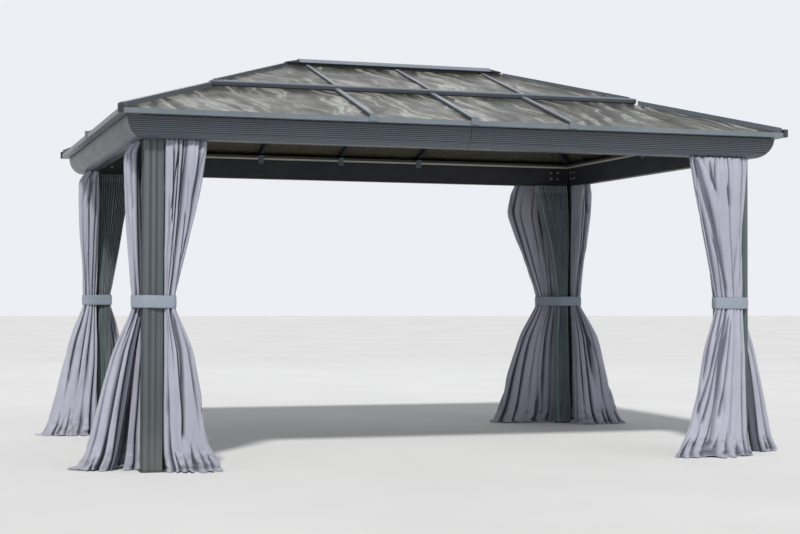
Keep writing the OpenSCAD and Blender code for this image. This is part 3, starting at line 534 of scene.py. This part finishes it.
def curtain(name, node, table, where, seed, flat, n_main=11, gap=0.05, ncol=216, nrow=132, depth=0.94, top=1.9235, wide=(), passes=3, inner=38, strokes=()):
    rng = np.random.default_rng(seed)
    fn, flip = where
    low, wob, fin, hemn = (Field(seed * 7 + i, 2) for i in range(4))
    zt = np.concatenate([np.linspace(top, 1.12, 50, endpoint=False), np.linspace(1.12, 0.84, 24, endpoint=False),
                         np.linspace(0.84, 0.14, 38, endpoint=False), np.linspace(0.14, 0.012, nrow - 112)])
    zt = zt[: nrow]
    rows = len(zt)
    # creases: close together on the inner side, wide plain panels between them on the outer side
    n_in = int(math.ceil(n_main / 2))
    n_out = n_main - n_in
    w_in, w_out = rng.uniform(0.6, 1.5, n_in), rng.uniform(0.4, 1.6, n_out)
    for i in wide:
        w_out[i % n_out] *= 2.8
    split = 0.47
    c_in = gap / 2 + (np.cumsum(w_in) - w_in / 2) / w_in.sum() * (split - gap / 2)
    c_out = split + (np.cumsum(w_out) - w_out / 2) / w_out.sum() * (1 - gap / 2 - split)
    c0 = np.concatenate([c_in, c_out])
    big = np.concatenate([rng.uniform(0.86, 1.0, n_in), rng.uniform(0.80, 1.0, n_out)])
    wid = np.concatenate([rng.uniform(0.0080, 0.0150, n_in), rng.choice([0.0060, 0.0085, 0.0130, 0.0210], n_out)])
    # each outer crease runs the whole way, or dies out above, at the tie or below
    kind = np.concatenate([np.zeros(n_in), rng.choice([0, 0, 1, 2, 3], n_out)])
    die = rng.uniform(0, 1, n_main)
    # short slanting tucks under the header, above the tie and below it
    n_tuck = 10
    tk_s, tk_z = rng.uniform(0.46, 0.97, n_tuck), np.concatenate([rng.uniform(1.62, 1.90, 4), rng.uniform(1.05, 1.40, 3), rng.uniform(0.25, 0.85, 3)])
    tk_l, tk_k = rng.uniform(0.07, 0.20, n_tuck), rng.uniform(0.12, 0.50, n_tuck) * rng.choice([-1, 1], n_tuck)
    tk_a, tk_w = rng.uniform(0.22, 0.55, n_tuck), rng.uniform(0.006, 0.015, n_tuck)
    lean = np.concatenate([rng.uniform(-0.2, 0.2, n_in), rng.uniform(0.15, 0.5, n_out) * rng.choice([-1, 1, 1], n_out)])
    n_tie = 14
    ct = np.sort(rng.uniform(0.02, 0.98, n_tie))
    reach_t = rng.uniform(0.10, 0.40, n_tie)
    amp_t = rng.uniform(0.15, 0.45, n_tie)
    # hollows where the cloth piles up on the floor: base, height, half width, depth
    n_pk = 7
    pk = list(zip((np.arange(n_pk) + rng.uniform(0.15, 0.85, n_pk)) / n_pk * 0.5 + 0.49, rng.uniform(0.10, 0.26, n_pk), rng.uniform(0.016, 0.040, n_pk),
                  rng.uniform(0.018, 0.040, n_pk), rng.uniform(-0.10, 0.10, n_pk)))
    fine_s = np.linspace(0, 1, 1800)

    def row(z, s):
        """Plan point, outward normal and fold depth at height z for the fractions s."""
        u0, u1, v0, v1 = (float(at(table, z, c)) for c in (1, 2, 3, 4))
        e = 0.62
        a = np.radians(186 + np.linspace(0, 348, 1400))
        hu, hv = (u1 - u0) / 2, (v1 - v0) / 2
        x = (u0 + u1) / 2 + hu * spw(np.cos(a), e)
        y = (v0 + v1) / 2 + hv * spw(np.sin(a), e)
        ln = np.concatenate([[0], np.cumsum(np.hypot(np.diff(x), np.diff(y)))])
        peri = ln[-1]
        sp = s + np.minimum(1, np.minimum(s, 1 - s) * 8) * (0.022 * wob(s * 5.3, z * 1.6) + 0.007 * wob(s * 15 + 3, z * 4.3))
        sp = np.clip(sp, 0, 1)
        px, py = np.interp(sp * peri, ln, x), np.interp(sp * peri, ln, y)
        lo_, hi_ = np.clip(sp - 0.006, 0, 1), np.clip(sp + 0.006, 0, 1)
        tx = np.interp(hi_ * peri, ln, x) - np.interp(lo_ * peri, ln, x)
        ty = np.interp(hi_ * peri, ln, y) - np.interp(lo_ * peri, ln, y)
        q = np.hypot(tx, ty) + 1e-9
        nx, ny = ty / q, -tx / q
        thick = min(hv, 0.060)
        d = np.zeros_like(s)
        shift = np.zeros_like(s)
        for k in range(n_main):
            am = big[k] * min(1.0, max(0.16, 0.86 + 1.15 * float(low(k * 2.7, z * 1.7))))
            am *= 0.70 + 0.30 * min(1, abs(z - top) / 0.25)
            if kind[k] == 1:
                am *= min(1, max(0.06, (1.25 + 0.45 * die[k] - z) / 0.30))
            elif kind[k] == 2 and z > TIE:
                am *= min(1, max(0.06, (z - 1.10 - 0.30 * die[k]) / 0.28))
            elif kind[k] == 3 and z < TIE:
                am *= min(1, max(0.06, (z - 0.15 - 0.45 * die[k]) / 0.28))
            xx = (s - c0[k]) / (wid[k] * (1 + 0.3 * float(fin(k * 1.9, z * 2.0))))
            dk = thick * depth * am * np.exp(-np.abs(xx) ** 2.2)
            d += dk
            shift += dk * lean[k] * (0.8 + 0.5 * float(fin(k * 4.1 + 7, z * 1.3)))
        for k in range(n_tie):
            f = math.exp(-((z - TIE) / reach_t[k]) ** 2)
            if f > 0.02:
                xx = (s - ct[k]) / 0.010
                d += thick * amp_t[k] * f * np.exp(-np.abs(xx) ** 2)
        for k in range(n_tuck):
            f = math.exp(-abs((z - tk_z[k]) / tk_l[k]) ** 2.4)
            if f > 0.03:
                xx = (s - tk_s[k] - tk_k[k] * (z - tk_z[k])) / tk_w[k]
                # steep on one side and easy on the other
                d += thick * tk_a[k] * f * np.where(xx > 0, np.exp(-np.abs(xx) ** 1.6), np.exp(-np.abs(xx * 0.45) ** 1.6))
        for s0, z0, s1, z1, w, amp in strokes:
            t = (z - z0) / (z1 - z0)
            f = min(1.0, max(0.0, (0.5 - abs(t - 0.5)) * abs(z1 - z0) / 0.07 + 0.5))
            if f > 0:
                xx = (s - (s0 + (s1 - s0) * t)) / w
                d += thick * amp * f * f * (3 - 2 * f) * np.where(xx > 0, np.exp(-np.abs(xx) ** 2.4), np.exp(-np.abs(xx * 0.7) ** 2.0))
        d = np.minimum(d, thick * 1.08)
        # fold depth, which the cloth material paints as shade
        fold_d = np.clip(d / thick, 0, 1)
        for s0, high, half, deep_, tilt in pk:
            if z < high:
                t = z / high
                f = np.clip(1 - np.abs(s - s0 - tilt * z) / (half * (1 - t) + 1e-4), 0, 1) * (1 - t) ** 0.35
                f = f * f * (3 - 2 * f)
                d += deep_ * f
                fold_d = np.clip(fold_d + 0.85 * f, 0, 1)
        # header gathers
        head = math.exp(-(top - z) / 0.055)
        d += (0.0045 * head + 0.0016 * math.exp(-(top - z) / 0.3)) * (1 + np.sin(2 * math.pi * 21 * s + 3 * low(s * 9, z)))
        # soft billows and fine wrinkles
        calm = 1 - 0.75 * math.exp(-((z - TIE) / 0.10) ** 2)
        d += calm * (0.0095 * low(s * 9 + 2, z * 2.4) + 0.0030 * fin(s * 34, z * 7 + s * 11))
        d += 0.0012 * fin(s * 90 + 5, z * 10)
        if z < 0.20:
            h = (1 - z / 0.20)
            hd = h * (0.016 * hemn(s * 19, z * 24) + 0.008 * hemn(s * 47 + 9, z * 44))
            d += hd
            fold_d = np.clip(fold_d + np.clip(hd / 0.016, 0, 1) * 0.7, 0, 1)
        edge = np.clip(np.minimum(s, 1 - s) / 0.02, 0.15, 1)
        px, py = px + ny * shift * edge, py - nx * shift * edge
        return px, py, nx, ny, d * edge, fold_d

    # columns placed so that the cloth is evenly divided once folded
    acc = np.zeros(len(fine_s) - 1)
    for z in zt[::9]:
        px, py, nx, ny, d, _ = row(float(z), fine_s)
        acc += np.hypot(np.diff(px - nx * d), np.diff(py - ny * d)) / 14
    cum = np.concatenate([[0], np.cumsum(acc)])
    s = np.interp(np.linspace(0, cum[-1], ncol), cum, fine_s)

    def inside(z):
        """The rest of the width, folded to and fro inside the bundle."""
        u0, u1, v0, v1 = (float(at(table, z, c)) for c in (1, 2, 3, 4))
        t = np.linspace(0, passes, inner) if passes else np.zeros(0)
        saw = 1 - np.abs((t % 2) - 1)
        uc, hu, vc, hv = (u0 + u1) / 2, (u1 - u0) / 2 * 0.90, (v0 + v1) / 2, (v1 - v0) / 2
        x = uc + hu * (2 * saw - 1)
        y = vc + hv * (0.16 - 0.16 * t / max(passes, 1) + 0.13 * np.sin(t * 2 * math.pi * 3.2 + z * 2))
        return x, y

    pts, folds = [], []
    for i, z in enumerate(zt):
        z = float(z)
        px, py, nx, ny, d, fd = row(z, s)
        zz = np.full(ncol, z)
        if z < 0.14:
            h = 1 - z / 0.14
            zz = zz + h * np.clip(0.012 * hemn(s * 14 + 3, 2.0) + 0.006, 0, 1) * 0.9
        if i < 4:
            zz = zz + 0.003 * np.sin(2 * math.pi * 21 * s) * (1 - i / 4)
        ix, iy = inside(z)
        # the passes folded inside the bundle get a deep painted shade
        folds.append(np.concatenate([fd, np.full(len(ix), 0.8)]))
        pts.append(fn(np.concatenate([px - nx * d, ix]), np.concatenate([py - ny * d, iy]), np.concatenate([zz, np.full(len(ix), max(z, 0.006))])))
    # the last of the length lies on the floor
    keep = np.clip(1 - d / (0.5 * 0.06), 0.15, 1) * np.clip(0.55 + 0.9 * hemn(s * 10, 7.7), 0.12, 1.15)
    keep *= np.where(nx < -0.4, 0.12, 1.0)
    base_z = zz
    for q in range(1, 9):
        t = q / 8
        run = 0.070 * t * keep
        zz = base_z * (1 - t) + t * (0.0045 + 0.0105 * np.clip(hemn(s * 26, t * 3), -0.4, 1)) + 0.017 * math.sin(math.pi * t) * np.clip(hemn(s * 17 + 4, 1.1), 0, 1)
        off = 0.006 * t * hemn(s * 40, t * 4 + 3)
        folds.append(folds[len(zt) - 1] * (1 - 0.6 * t))
        pts.append(fn(np.concatenate([px - nx * d + nx * run - ny * off, ix + 0.004 * t * np.cos(ix * 90)]),
                      np.concatenate([py - ny * d + ny * run + nx * off, iy + 0.010 * t]),
                      np.concatenate([np.maximum(zz, 0.002), np.full(len(ix), 0.006 - 0.003 * t)])))
    p = np.array(pts)
    R, C = p.shape[:2]
    seg = np.linalg.norm(np.diff(p, axis=0), axis=2).mean(1)
    vv = np.concatenate([[0], np.cumsum(seg)])
    vv = vv / vv[-1] * flat[1]
    uu = (np.arange(C) / (C - 1)) * flat[0]
    uv = np.stack(np.broadcast_arrays(uu[None, :], vv[:, None]), -1).reshape(-1, 2)
    area = grid_area(p)
    print("SHEET", name, "area", round(area, 3), "share", round(area / (flat[0] * flat[1]), 3))
    o = mesh_object(name, p.reshape(-1, 3), grid_faces(R, C, flip), CLOTH_L if flat[0] > 1.7 else CLOTH_S, True, uv)
    shade(o, np.array(folds))
    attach(o, "root")
    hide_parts(node)
    return o, p


LONG, SHORT = (2.0, 1.95), (1.4, 1.95)


def shade(o, depth):
    """How deep in a fold each point lies, 0..1; the cloth and net materials paint it as shade."""
    o.data.attributes.new("fold", "FLOAT", "POINT").data.foreach_set("value", np.asarray(depth, np.float32).ravel())


made = {}
for nm, tb, sd, mx, my, seed, flat, kw in (
    ("front_curtain_left", T_FL, "front", 1, 1, 11, LONG, dict(n_main=10, wide=(0,), passes=5, inner=58,
     strokes=((0.90, 1.87, 0.88, 1.45, 0.006, 0.9), (0.86, 1.84, 0.90, 1.52, 0.006, 0.8), (0.80, 1.90, 0.80, 1.62, 0.008, 0.9), (0.77, 1.72, 0.80, 1.56, 0.010, 0.6),
              (0.64, 1.34, 0.645, 1.10, 0.016, 0.55), (0.70, 1.50, 0.66, 1.03, 0.007, 0.5), (0.72, 0.90, 0.80, 0.20, 0.012, 0.8)))),
    ("front_curtain_right", T_FR, "front", -1, 1, 23, LONG, dict(n_main=12, wide=(4,), passes=5, inner=58,
     strokes=((0.560, 1.90, 0.70, 1.08, 0.020, 0.95), (0.66, 1.90, 0.685, 1.72, 0.008, 0.7), (0.72, 1.90, 0.690, 1.72, 0.008, 0.7), (0.82, 1.74, 0.83, 1.60, 0.012, 0.5),
              (0.70, 0.88, 0.60, 0.22, 0.008, 0.8), (0.74, 0.90, 0.66, 0.16, 0.007, 0.8), (0.78, 0.86, 0.73, 0.25, 0.008, 0.7), (0.66, 0.84, 0.55, 0.30, 0.010, 0.7)))),
    ("back_curtain_left", T_BL, "front", 1, -1, 31, LONG, dict(n_main=13, wide=(3,), passes=5, inner=58)),
    ("back_curtain_right", T_BR, "front", -1, -1, 43, LONG, dict(n_main=11, wide=(1, 3))),
    ("left_curtain_front", side_rows(360), "left", 1, 1, 57, SHORT, dict(n_main=9, wide=(1,), passes=2, inner=26,
     strokes=((0.92, 1.90, 0.95, 1.55, 0.016, 0.9), (0.86, 1.88, 0.92, 1.66, 0.010, 0.7), (0.90, 1.62, 0.93, 1.50, 0.016, 0.5), (0.90, 1.45, 0.90, 1.06, 0.007, 0.7)))),
    ("left_curtain_back", side_rows(356), "left", 1, -1, 61, SHORT, dict(n_main=9, wide=(2,), passes=1, inner=14)),
    ("right_curtain_front", side_rows(358), "left", -1, 1, 73, SHORT, dict(n_main=9, wide=(1,), passes=1, inner=14)),
    ("right_curtain_back", side_rows(360, -34, 22), "left", -1, -1, 87, SHORT, dict(n_main=9, wide=(2,), passes=1, inner=14)),
):
    made[nm] = curtain("visual_" + nm, nm, tb, place(sd, mx, my), seed, flat, **kw)


# ---------------------------------------------------------------- nets
T_NET = [[0, -42, 74, -188, -68], [160, -38, 68, -182, -68], [400, -36, 62, -176, -68], [940, -34, 50, -160, -66],
         [1030, -34, 50, -160, -66], [1450, -40, 128, -170, -60], [1700, -44, 180, -160, -54], [1880, -46, 216, -140, -50],
         [1922, -46, 220, -120, -48]]


def net(name, node, mx, my, seed, flat=(3.35, 1.93), folds=15, per=20, nrow=84):
    fn, flip = place("front", mx, my)
    f1, f2 = Field(seed, 2), Field(seed + 1, 2)
    rng = np.random.default_rng(seed)
    zt = np.concatenate([np.linspace(1.9235, 1.1, 34, endpoint=False), np.linspace(1.1, 0.86, 14, endpoint=False),
                         np.linspace(0.86, 0.012, nrow - 48)])
    C = folds * per + 1
    th = np.linspace(0, folds, C)
    w = rng.uniform(0.7, 1.35, folds + 1)
    pos = np.concatenate([[0], np.cumsum(w)])
    x0 = np.interp(th, np.arange(folds + 2), pos)
    x0 = x0 / x0[-1]
    pts, deep = [], []
    for z in zt:
        z = float(z)
        u0, u1, v0, v1 = (float(at(T_NET, z, c)) for c in (1, 2, 3, 4))
        hv, vc = (v1 - v0) / 2, (v0 + v1) / 2
        wav = np.cos(2 * math.pi * th)
        am = 0.94 + 0.13 * f1(np.floor(th + 0.5) * 2.3, z * 2.5)
        y = vc + hv * spw(wav, 0.72) * np.minimum(am, 1.03)
        ov = 0.8 * (u1 - u0) / folds / (2 * math.pi)
        x = u0 + (u1 - u0) * x0 + ov * np.sin(4 * math.pi * th)
        deep.append(1 - np.abs(wav))
        x = x + 0.006 * f2(th * 0.7, z * 3) + 0.012 * f2(3.3, z * 1.5) * (1 - math.exp(-((z - TIE) / 0.2) ** 2))
        y = y + 0.004 * f2(th * 1.9 + 5, z * 9)
        zz = np.full(C, z) + (0.004 * np.clip(f1(th, 9.0), 0, 1) if z < 0.03 else 0)
        pts.append(fn(x, y, zz))
    p = np.array(pts)
    uu = np.linspace(0, flat[0], C)
    vv = (zt[0] - zt) / (zt[0] - zt[-1]) * flat[1]
    uv = np.stack(np.broadcast_arrays(uu[None, :], vv[:, None]), -1).reshape(-1, 2)
    area = grid_area(p)
    print("SHEET", name, "area", round(area, 3), "share", round(area / (flat[0] * flat[1]), 3))
    o = mesh_object(name, p.reshape(-1, 3), grid_faces(len(zt), C, flip), NETTING, True, uv)
    # fold depth for the net's painted shade
    shade(o, np.broadcast_to(0.5 + 0.5 * np.cos(4 * math.pi * th), (len(zt), C)) * 0.2 + 0.8 * np.array(deep))
    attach(o, "root")
    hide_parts(node)
    return o, p


for nm, mx, my, seed in (("front_left_net", 1, 1, 101), ("front_right_net", -1, 1, 113),
                         ("back_left_net", 1, -1, 127), ("back_right_net", -1, -1, 131)):
    made[nm] = net("visual_" + nm, nm, mx, my, seed)


# ---------------------------------------------------------------- tie bands
def hull(points):
    pts = sorted(set((round(float(a), 5), round(float(b), 5)) for a, b in points))

    def half(seq):
        h = []
        for q in seq:
            while len(h) > 1 and (h[-1][0] - h[-2][0]) * (q[1] - h[-2][1]) - (h[-1][1] - h[-2][1]) * (q[0] - h[-2][0]) <= 0:
                h.pop()
            h.append(q)
        return h[:-1]

    return np.array(half(pts) + half(reversed(pts)))


def tie(name, mx, my, members, seed, start, lap=0.075, high=0.074):
    near = []
    for m in members:
        p = made[m][1]
        z = p[..., 2]
        near.append(p[(z > TIE - 0.042) & (z < TIE + 0.042)][:, :2])
    near.append(np.array([[mx * -x, my * -y] for x, y in ((PX, PY), (PX - LEG, PY), (PX, PY - LEG), (PX - LEG, PY - 0.03), (PX - 0.03, PY - LEG))]))
    h = hull(np.concatenate(near))
    cx, cy = h.mean(0)
    # offset outward and round the corners
    closed = np.vstack([h, h[:1]])
    ln = np.concatenate([[0], np.cumsum(np.linalg.norm(np.diff(closed, axis=0), axis=1))])
    N = 260
    s = np.linspace(0, ln[-1], N, endpoint=False)
    q = np.stack([np.interp(s, ln, closed[:, 0]), np.interp(s, ln, closed[:, 1])], 1)
    ker = np.hanning(15)
    ker /= ker.sum()
    for _ in range(2):
        q = np.stack([np.convolve(np.concatenate([q[-7:, c], q[:, c], q[:7, c]]), ker, "valid") for c in (0, 1)], 1)
    t = np.roll(q, -1, 0) - np.roll(q, 1, 0)
    t /= np.linalg.norm(t, axis=1)[:, None]
    nrm = np.stack([t[:, 1], -t[:, 0]], 1)
    q = q + nrm * 0.0052
    peri = float(np.linalg.norm(np.diff(np.vstack([q, q[:1]]), axis=0), axis=1).sum())
    # begin where the two ends lap, and run once round and a little more
    first = int(np.argmin(np.linalg.norm(q - np.array(start), axis=1)))
    extra = int(N * lap / peri)
    idx = (first + np.arange(N + extra)) % N
    f = Field(seed, 2)
    rows = 11
    pts = []
    for i in range(rows):
        b = i / (rows - 1) * 2 - 1
        ss = np.arange(len(idx)) / len(idx)
        lift = 0.0012 * (1 - b * b) + 0.0014 * f(ss * 30, b * 1.5) - 0.0016 * max(0, abs(b) - 0.8) / 0.2
        lift = lift + np.clip((np.arange(len(idx)) - (N - 6)) / 6, 0, 1) * 0.0036
        z = TIE + b * high / 2 + 0.0022 * f(ss * 14, 8.0 + 0.2 * b)
        xy = q[idx] + nrm[idx] * lift[:, None]
        pts.append(np.stack([xy[:, 0], xy[:, 1], z], 1))
    p = np.array(pts)
    # the band is a single layer, its edges drawn in a little by the lift above
    C = p.shape[1]
    uu = np.linspace(0, 1.2, C)
    vv = np.linspace(0, high, rows)
    uv = np.stack(np.broadcast_arrays(uu[None, :], vv[:, None]), -1).reshape(-1, 2)
    o = mesh_object(name, p.reshape(-1, 3), grid_faces(rows, C), TIECLOTH, True, uv)
    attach(o, "root")
    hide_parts("curtain_ties")
    return o


tie("visual_tie_front_left", -1 * -1, 1, ["front_curtain_left", "left_curtain_front", "front_left_net"], 5, (-1.80, -1.16))
tie("visual_tie_front_right", -1, 1, ["front_curtain_right", "right_curtain_front", "front_right_net"], 6, (1.885, -1.38))
tie("visual_tie_back_left", 1, -1, ["back_curtain_left", "left_curtain_back", "back_left_net"], 7, (-1.80, 1.16))
tie("visual_tie_back_right", -1, -1, ["back_curtain_right", "right_curtain_back", "back_right_net"], 8, (1.80, 1.38))


# ---------------------------------------------------------------- small parts, swept and turned
class Build:
    def __init__(self):
        self.v, self.f = [], []

    def lathe(self, at_, axis, prof, seg=14):
        """prof is [(radius, height)]; height runs along axis from at_."""
        a = Vector(axis).normalized()
        b = a.orthogonal().normalized()
        c = a.cross(b)
        o = Vector(at_)
        base = len(self.v)
        for r, h in prof:
            for i in range(seg):
                t = 2 * math.pi * i / seg
                self.v.append(tuple(o + a * h + (b * math.cos(t) + c * math.sin(t)) * r))
        for j in range(len(prof) - 1):
            for i in range(seg):
                i2 = (i + 1) % seg
                self.f.append((base + j * seg + i, base + j * seg + i2, base + (j + 1) * seg + i2, base + (j + 1) * seg + i))
        self.f.append(tuple(base + (len(prof) - 1) * seg + i for i in range(seg)))

    def bolt(self, at_, axis, r=0.0065):
        self.lathe(at_, axis, [(r * 1.75, 0), (r * 1.75, 0.0012), (r * 1.6, 0.0018), (r * 1.15, 0.0018)], 18)
        self.lathe(at_, axis, [(r * 1.14, 0.0017), (r * 1.14, 0.0056), (r * 0.95, 0.0066), (r * 0.4, 0.0069)], 6)

    def dome(self, at_, axis, r, h):
        prof = [(r, 0)] + [(r * math.cos(t), h * (0.25 + 0.75 * math.sin(t))) for t in np.linspace(0.0, 1.45, 7)]
        self.lathe(at_, axis, prof, 16)

    def tube(self, path, r, seg=6, closed=False):
        pts = [Vector(p) for p in path]
        n = len(pts)
        base = len(self.v)
        for i, p in enumerate(pts):
            t = (pts[(i + 1) % n] - pts[i - 1]) if closed or 0 < i < n - 1 else (pts[1] - pts[0] if i == 0 else pts[-1] - pts[-2])
            t.normalize()
            ref = Vector((0.31, 0.2, 0.93)) if abs(t.z) < 0.8 else Vector((1, 0.1, 0))
            b = t.cross(ref).normalized()
            c = t.cross(b)
            for k in range(seg):
                a = 2 * math.pi * k / seg
                self.v.append(tuple(p + (b * math.cos(a) + c * math.sin(a)) * r))
        for i in range(n if closed else n - 1):
            i2 = (i + 1) % n
            for k in range(seg):
                k2 = (k + 1) % seg
                self.f.append((base + i * seg + k, base + i * seg + k2, base + i2 * seg + k2, base + i2 * seg + k))

    def bar(self, p0, p1, half, up, h):
        """Strip with chamfered top from p0 to p1; half is its half width, up its height direction."""
        p0, p1, up = Vector(p0), Vector(p1), Vector(up).normalized()
        t = (p1 - p0).normalized()
        side = t.cross(up).normalized()
        up = side.cross(t).normalized()
        prof = [(-half, 0), (half, 0), (half, h * 0.65), (half * 0.6, h), (-half * 0.6, h), (-half, h * 0.65)]
        base = len(self.v)
        for q in (p0, p1):
            for a, b in prof:
                self.v.append(tuple(q + side * a + up * b))
        m = len(prof)
        for i in range(m):
            i2 = (i + 1) % m
            self.f.append((base + i, base + m + i, base + m + i2, base + i2))
        self.f.append(tuple(base + i for i in range(m)))
        self.f.append(tuple(base + m + i for i in reversed(range(m))))

    def made(self, name, material, slot, smooth=False):
        o = mesh_object(name, self.v, self.f, material, smooth)
        bm = bmesh.new()
        bm.from_mesh(o.data)
        bmesh.ops.recalc_face_normals(bm, faces=bm.faces)
        bm.to_mesh(o.data)
        bm.free()
        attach(o, "root")
        return o


def four(fn):
    for mx in (1, -1):
        for my in (1, -1):
            fn(mx, my)


# dark gaskets beside every rafter's cap
g = Build()
for my in (-1, 1):
    for x in RAFTERS:
        for sx in (-1, 1):
            d0, d1 = 0.012, DM - 0.032
            g.bar((x + sx * 0.0185, my * (EY - d0), zf(d0) - 0.0175), (x + sx * 0.0185, my * (EY - d1), zf(d1) - 0.0175), 0.0026, (0, 0, 1), 0.0075)
            d0, d1 = DM + 0.03, 1.502 - 0.075
            g.bar((x + sx * 0.0148, my * (EY - d0), zf(d0) + 0.0062), (x + sx * 0.0148, my * (EY - d1), zf(d1) + 0.0062), 0.0024, (0, 0, 1), 0.0055)
for mx in (-1, 1):
    for sy in (-1, 1):
        d0, d1 = 0.012, DM - 0.032
        g.bar((mx * (EX - KX * d0), sy * 0.0185, zf(d0) - 0.0175), (mx * (EX - KX * d1), sy * 0.0185, zf(d1) - 0.0175), 0.0026, (0, 0, 1), 0.0075)
g.made("visual_rafter_gaskets", RUBBER, "dark_metal")

# screws: clips, brackets, tier knobs, beam corners and the anchors on the foot plates
b = Build()
nf = Vector((0, -SL, 1)).normalized()
for my in (-1, 1):
    for x in RAFTERS:
        for dx in (-0.013, 0.013):
            b.bolt((x + dx, my * 1.2888, 2.060), (0, -my, 0), 0.0045)
        b.dome((x, my * (EY - DM + 0.010), zf(DM - 0.010) + 0.0178), (0, my * SL, 1), 0.0095, 0.008)
for mx in (-1, 1):
    for dy in (-0.013, 0.013):
        b.bolt((mx * 1.9388, dy, 2.060), (-mx, 0, 0), 0.0045)


def corner_bolts(mx, my):
    for z in (1.985, 2.035):
        b.bolt((mx * 1.86, my * 1.2888, z), (0, -my, 0), 0.0062)
        b.bolt((mx * 1.80, my * 1.2888, z), (0, -my, 0), 0.0062)
        b.bolt((mx * 1.9388, my * 1.21, z), (-mx, 0, 0), 0.0062)
        b.bolt((mx * 1.9388, my * 1.15, z), (-mx, 0, 0), 0.0062)
    for i in (-1, 1):
        for j in (-1, 1):
            b.bolt((mx * (1.885 + 0.035 * i), my * (1.235 + 0.035 * j), 0.006), (0, 0, 1), 0.0070)


four(corner_bolts)
b.made("visual_screws", ZINC, "zinc_bracket")

# hooks between the rails and the headers
hk = Build()


def hooks(p, axis, rail):
    """Little wire loops from the rail down to the header of one gathered sheet."""
    top = p[0]
    lo_, hi_ = top[:, axis].min(), top[:, axis].max()
    n = max(4, int((hi_ - lo_) / 0.034))
    for i in range(n):
        a = lo_ + (hi_ - lo_) * (i + 0.5) / n
        c = [0, 0, 1.9215]
        c[axis] = a
        c[1 - axis] = rail
        ring = []
        for k in range(14):
            t = 2 * math.pi * k / 14
            q = [c[0], c[1], c[2] + 0.0115 * math.sin(t)]
            q[axis] += 0.0052 * math.cos(t) * (1 if i % 2 else 0.6)
            q[1 - axis] += 0.004 * math.cos(t) * (1 if i % 3 else -1)
            ring.append(q)
        hk.tube(ring, 0.0011, 6, True)


for nm, (o, p) in made.items():
    if "curtain" in nm:
        if nm.startswith(("front", "back")):
            hooks(p, 0, (W2 - 0.027) * (-1 if nm.startswith("front") else 1))
        else:
            hooks(p, 1, (L2 - 0.027) * (-1 if nm.startswith("left") else 1))
    else:
        hooks(p, 0, (W2 - 0.051) * (-1 if nm.startswith("front") else 1))
hk.made("visual_curtain_hooks", ZINC, "zinc_bracket", True)

# ---------------------------------------------------------------- floor, light, camera
fm = Mat("studio floor")
fco = fm.tc.outputs["Object"]
fcol = fm.mix(fm.remap(fm.noise(fco, 0.6, 3.0), 0.3, 0.7), (0.60, 0.60, 0.60, 1), (0.64, 0.64, 0.64, 1))
FLOOR = fm.done(fm.bsdf(Base_Color=fcol, Roughness=0.9, Specular_IOR_Level=0.1,
                        Normal=fm.bump(fm.noise(fco, 240.0, 2.0), 0.05, 0.0005)).outputs[0])
fl = mesh_object("studio_floor", [(-60, -60, -0.0005), (60, -60, -0.0005), (60, 60, -0.0005), (-60, 60, -0.0005)], [(0, 1, 2, 3)], FLOOR, False)

world = bpy.data.worlds.new("studio")
bpy.context.scene.world = world
world.use_nodes = True
bgn = world.node_tree.nodes["Background"]
wt = world.node_tree
wtc = wt.nodes.new("ShaderNodeTexCoord")
wsp = wt.nodes.new("ShaderNodeSeparateXYZ")
wmr = wt.nodes.new("ShaderNodeMapRange")
wmr.inputs[1].default_value, wmr.inputs[2].default_value = 0.22, 0.75
wmr.inputs[3].default_value, wmr.inputs[4].default_value = 0.90, 0.34
wt.links.new(wtc.outputs["Generated"], wsp.inputs[0])
wt.links.new(wsp.outputs[2], wmr.inputs[0])
wt.links.new(wmr.outputs[0], bgn.inputs["Strength"])
bgn.inputs["Color"].default_value = (0.93, 0.96, 1.0, 1)


def area_light(name, loc, target, size, power, color=(1, 1, 1)):
    ld = bpy.data.lights.new(name, "AREA")
    ld.shape = "RECTANGLE"
    ld.size, ld.size_y = size
    ld.energy = power
    ld.color = color
    o = bpy.data.objects.new(name, ld)
    bpy.context.scene.collection.objects.link(o)
    o.location = loc
    o.rotation_euler = (Vector(target) - Vector(loc)).to_track_quat("-Z", "Y").to_euler()
    return o


sun_d = bpy.data.lights.new("key", "SUN")
sun_d.energy = 3.5
sun_d.angle = math.radians(5)
sun_d.color = (1.0, 0.98, 0.955)
sun = bpy.data.objects.new("key", sun_d)
bpy.context.scene.collection.objects.link(sun)
sun.rotation_euler = (Vector((0, 0, 0)) - Vector((-5.0, -10.5, 11.5))).to_track_quat("-Z", "Y").to_euler()
area_light("fill", (8.5, -8.0, 5.5), (0, 0, 1.2), (6.0, 5.0), 115, (0.95, 0.97, 1.0))
area_light("back", (2.0, 10.0, 7.0), (0, 0, 1.6), (7.0, 4.0), 70, (0.97, 0.98, 1.0))

cam_d = bpy.data.cameras.new("view")
cam = bpy.data.objects.new("view", cam_d)
bpy.context.scene.collection.objects.link(cam)
yaw, pitch, roll = (math.radians(a) for a in (16.0519, 1.0923, 0.2268))
fwd = Vector((math.sin(yaw) * math.cos(pitch), math.cos(yaw) * math.cos(pitch), math.sin(pitch)))
right = Vector((math.cos(yaw), -math.sin(yaw), 0))
up = right.cross(fwd)
r2 = right * math.cos(roll) + up * math.sin(roll)
u2 = up * math.cos(roll) - right * math.sin(roll)
m = Matrix((r2, u2, -fwd)).transposed().to_4x4()
m.translation = Vector((-3.3578, -9.7891, 1.0258))
cam.matrix_world = m
cam_d.sensor_width = 36
cam_d.sensor_fit = "HORIZONTAL"
cam_d.lens = 66.365
cam_d.shift_x = 0.10037
cam_d.clip_end = 200
cam_d.dof.use_dof = False
bpy.context.scene.camera = cam

vs = bpy.context.scene.view_settings
vs.view_transform = "Standard"
vs.look = "None"
vs.exposure = 0.0
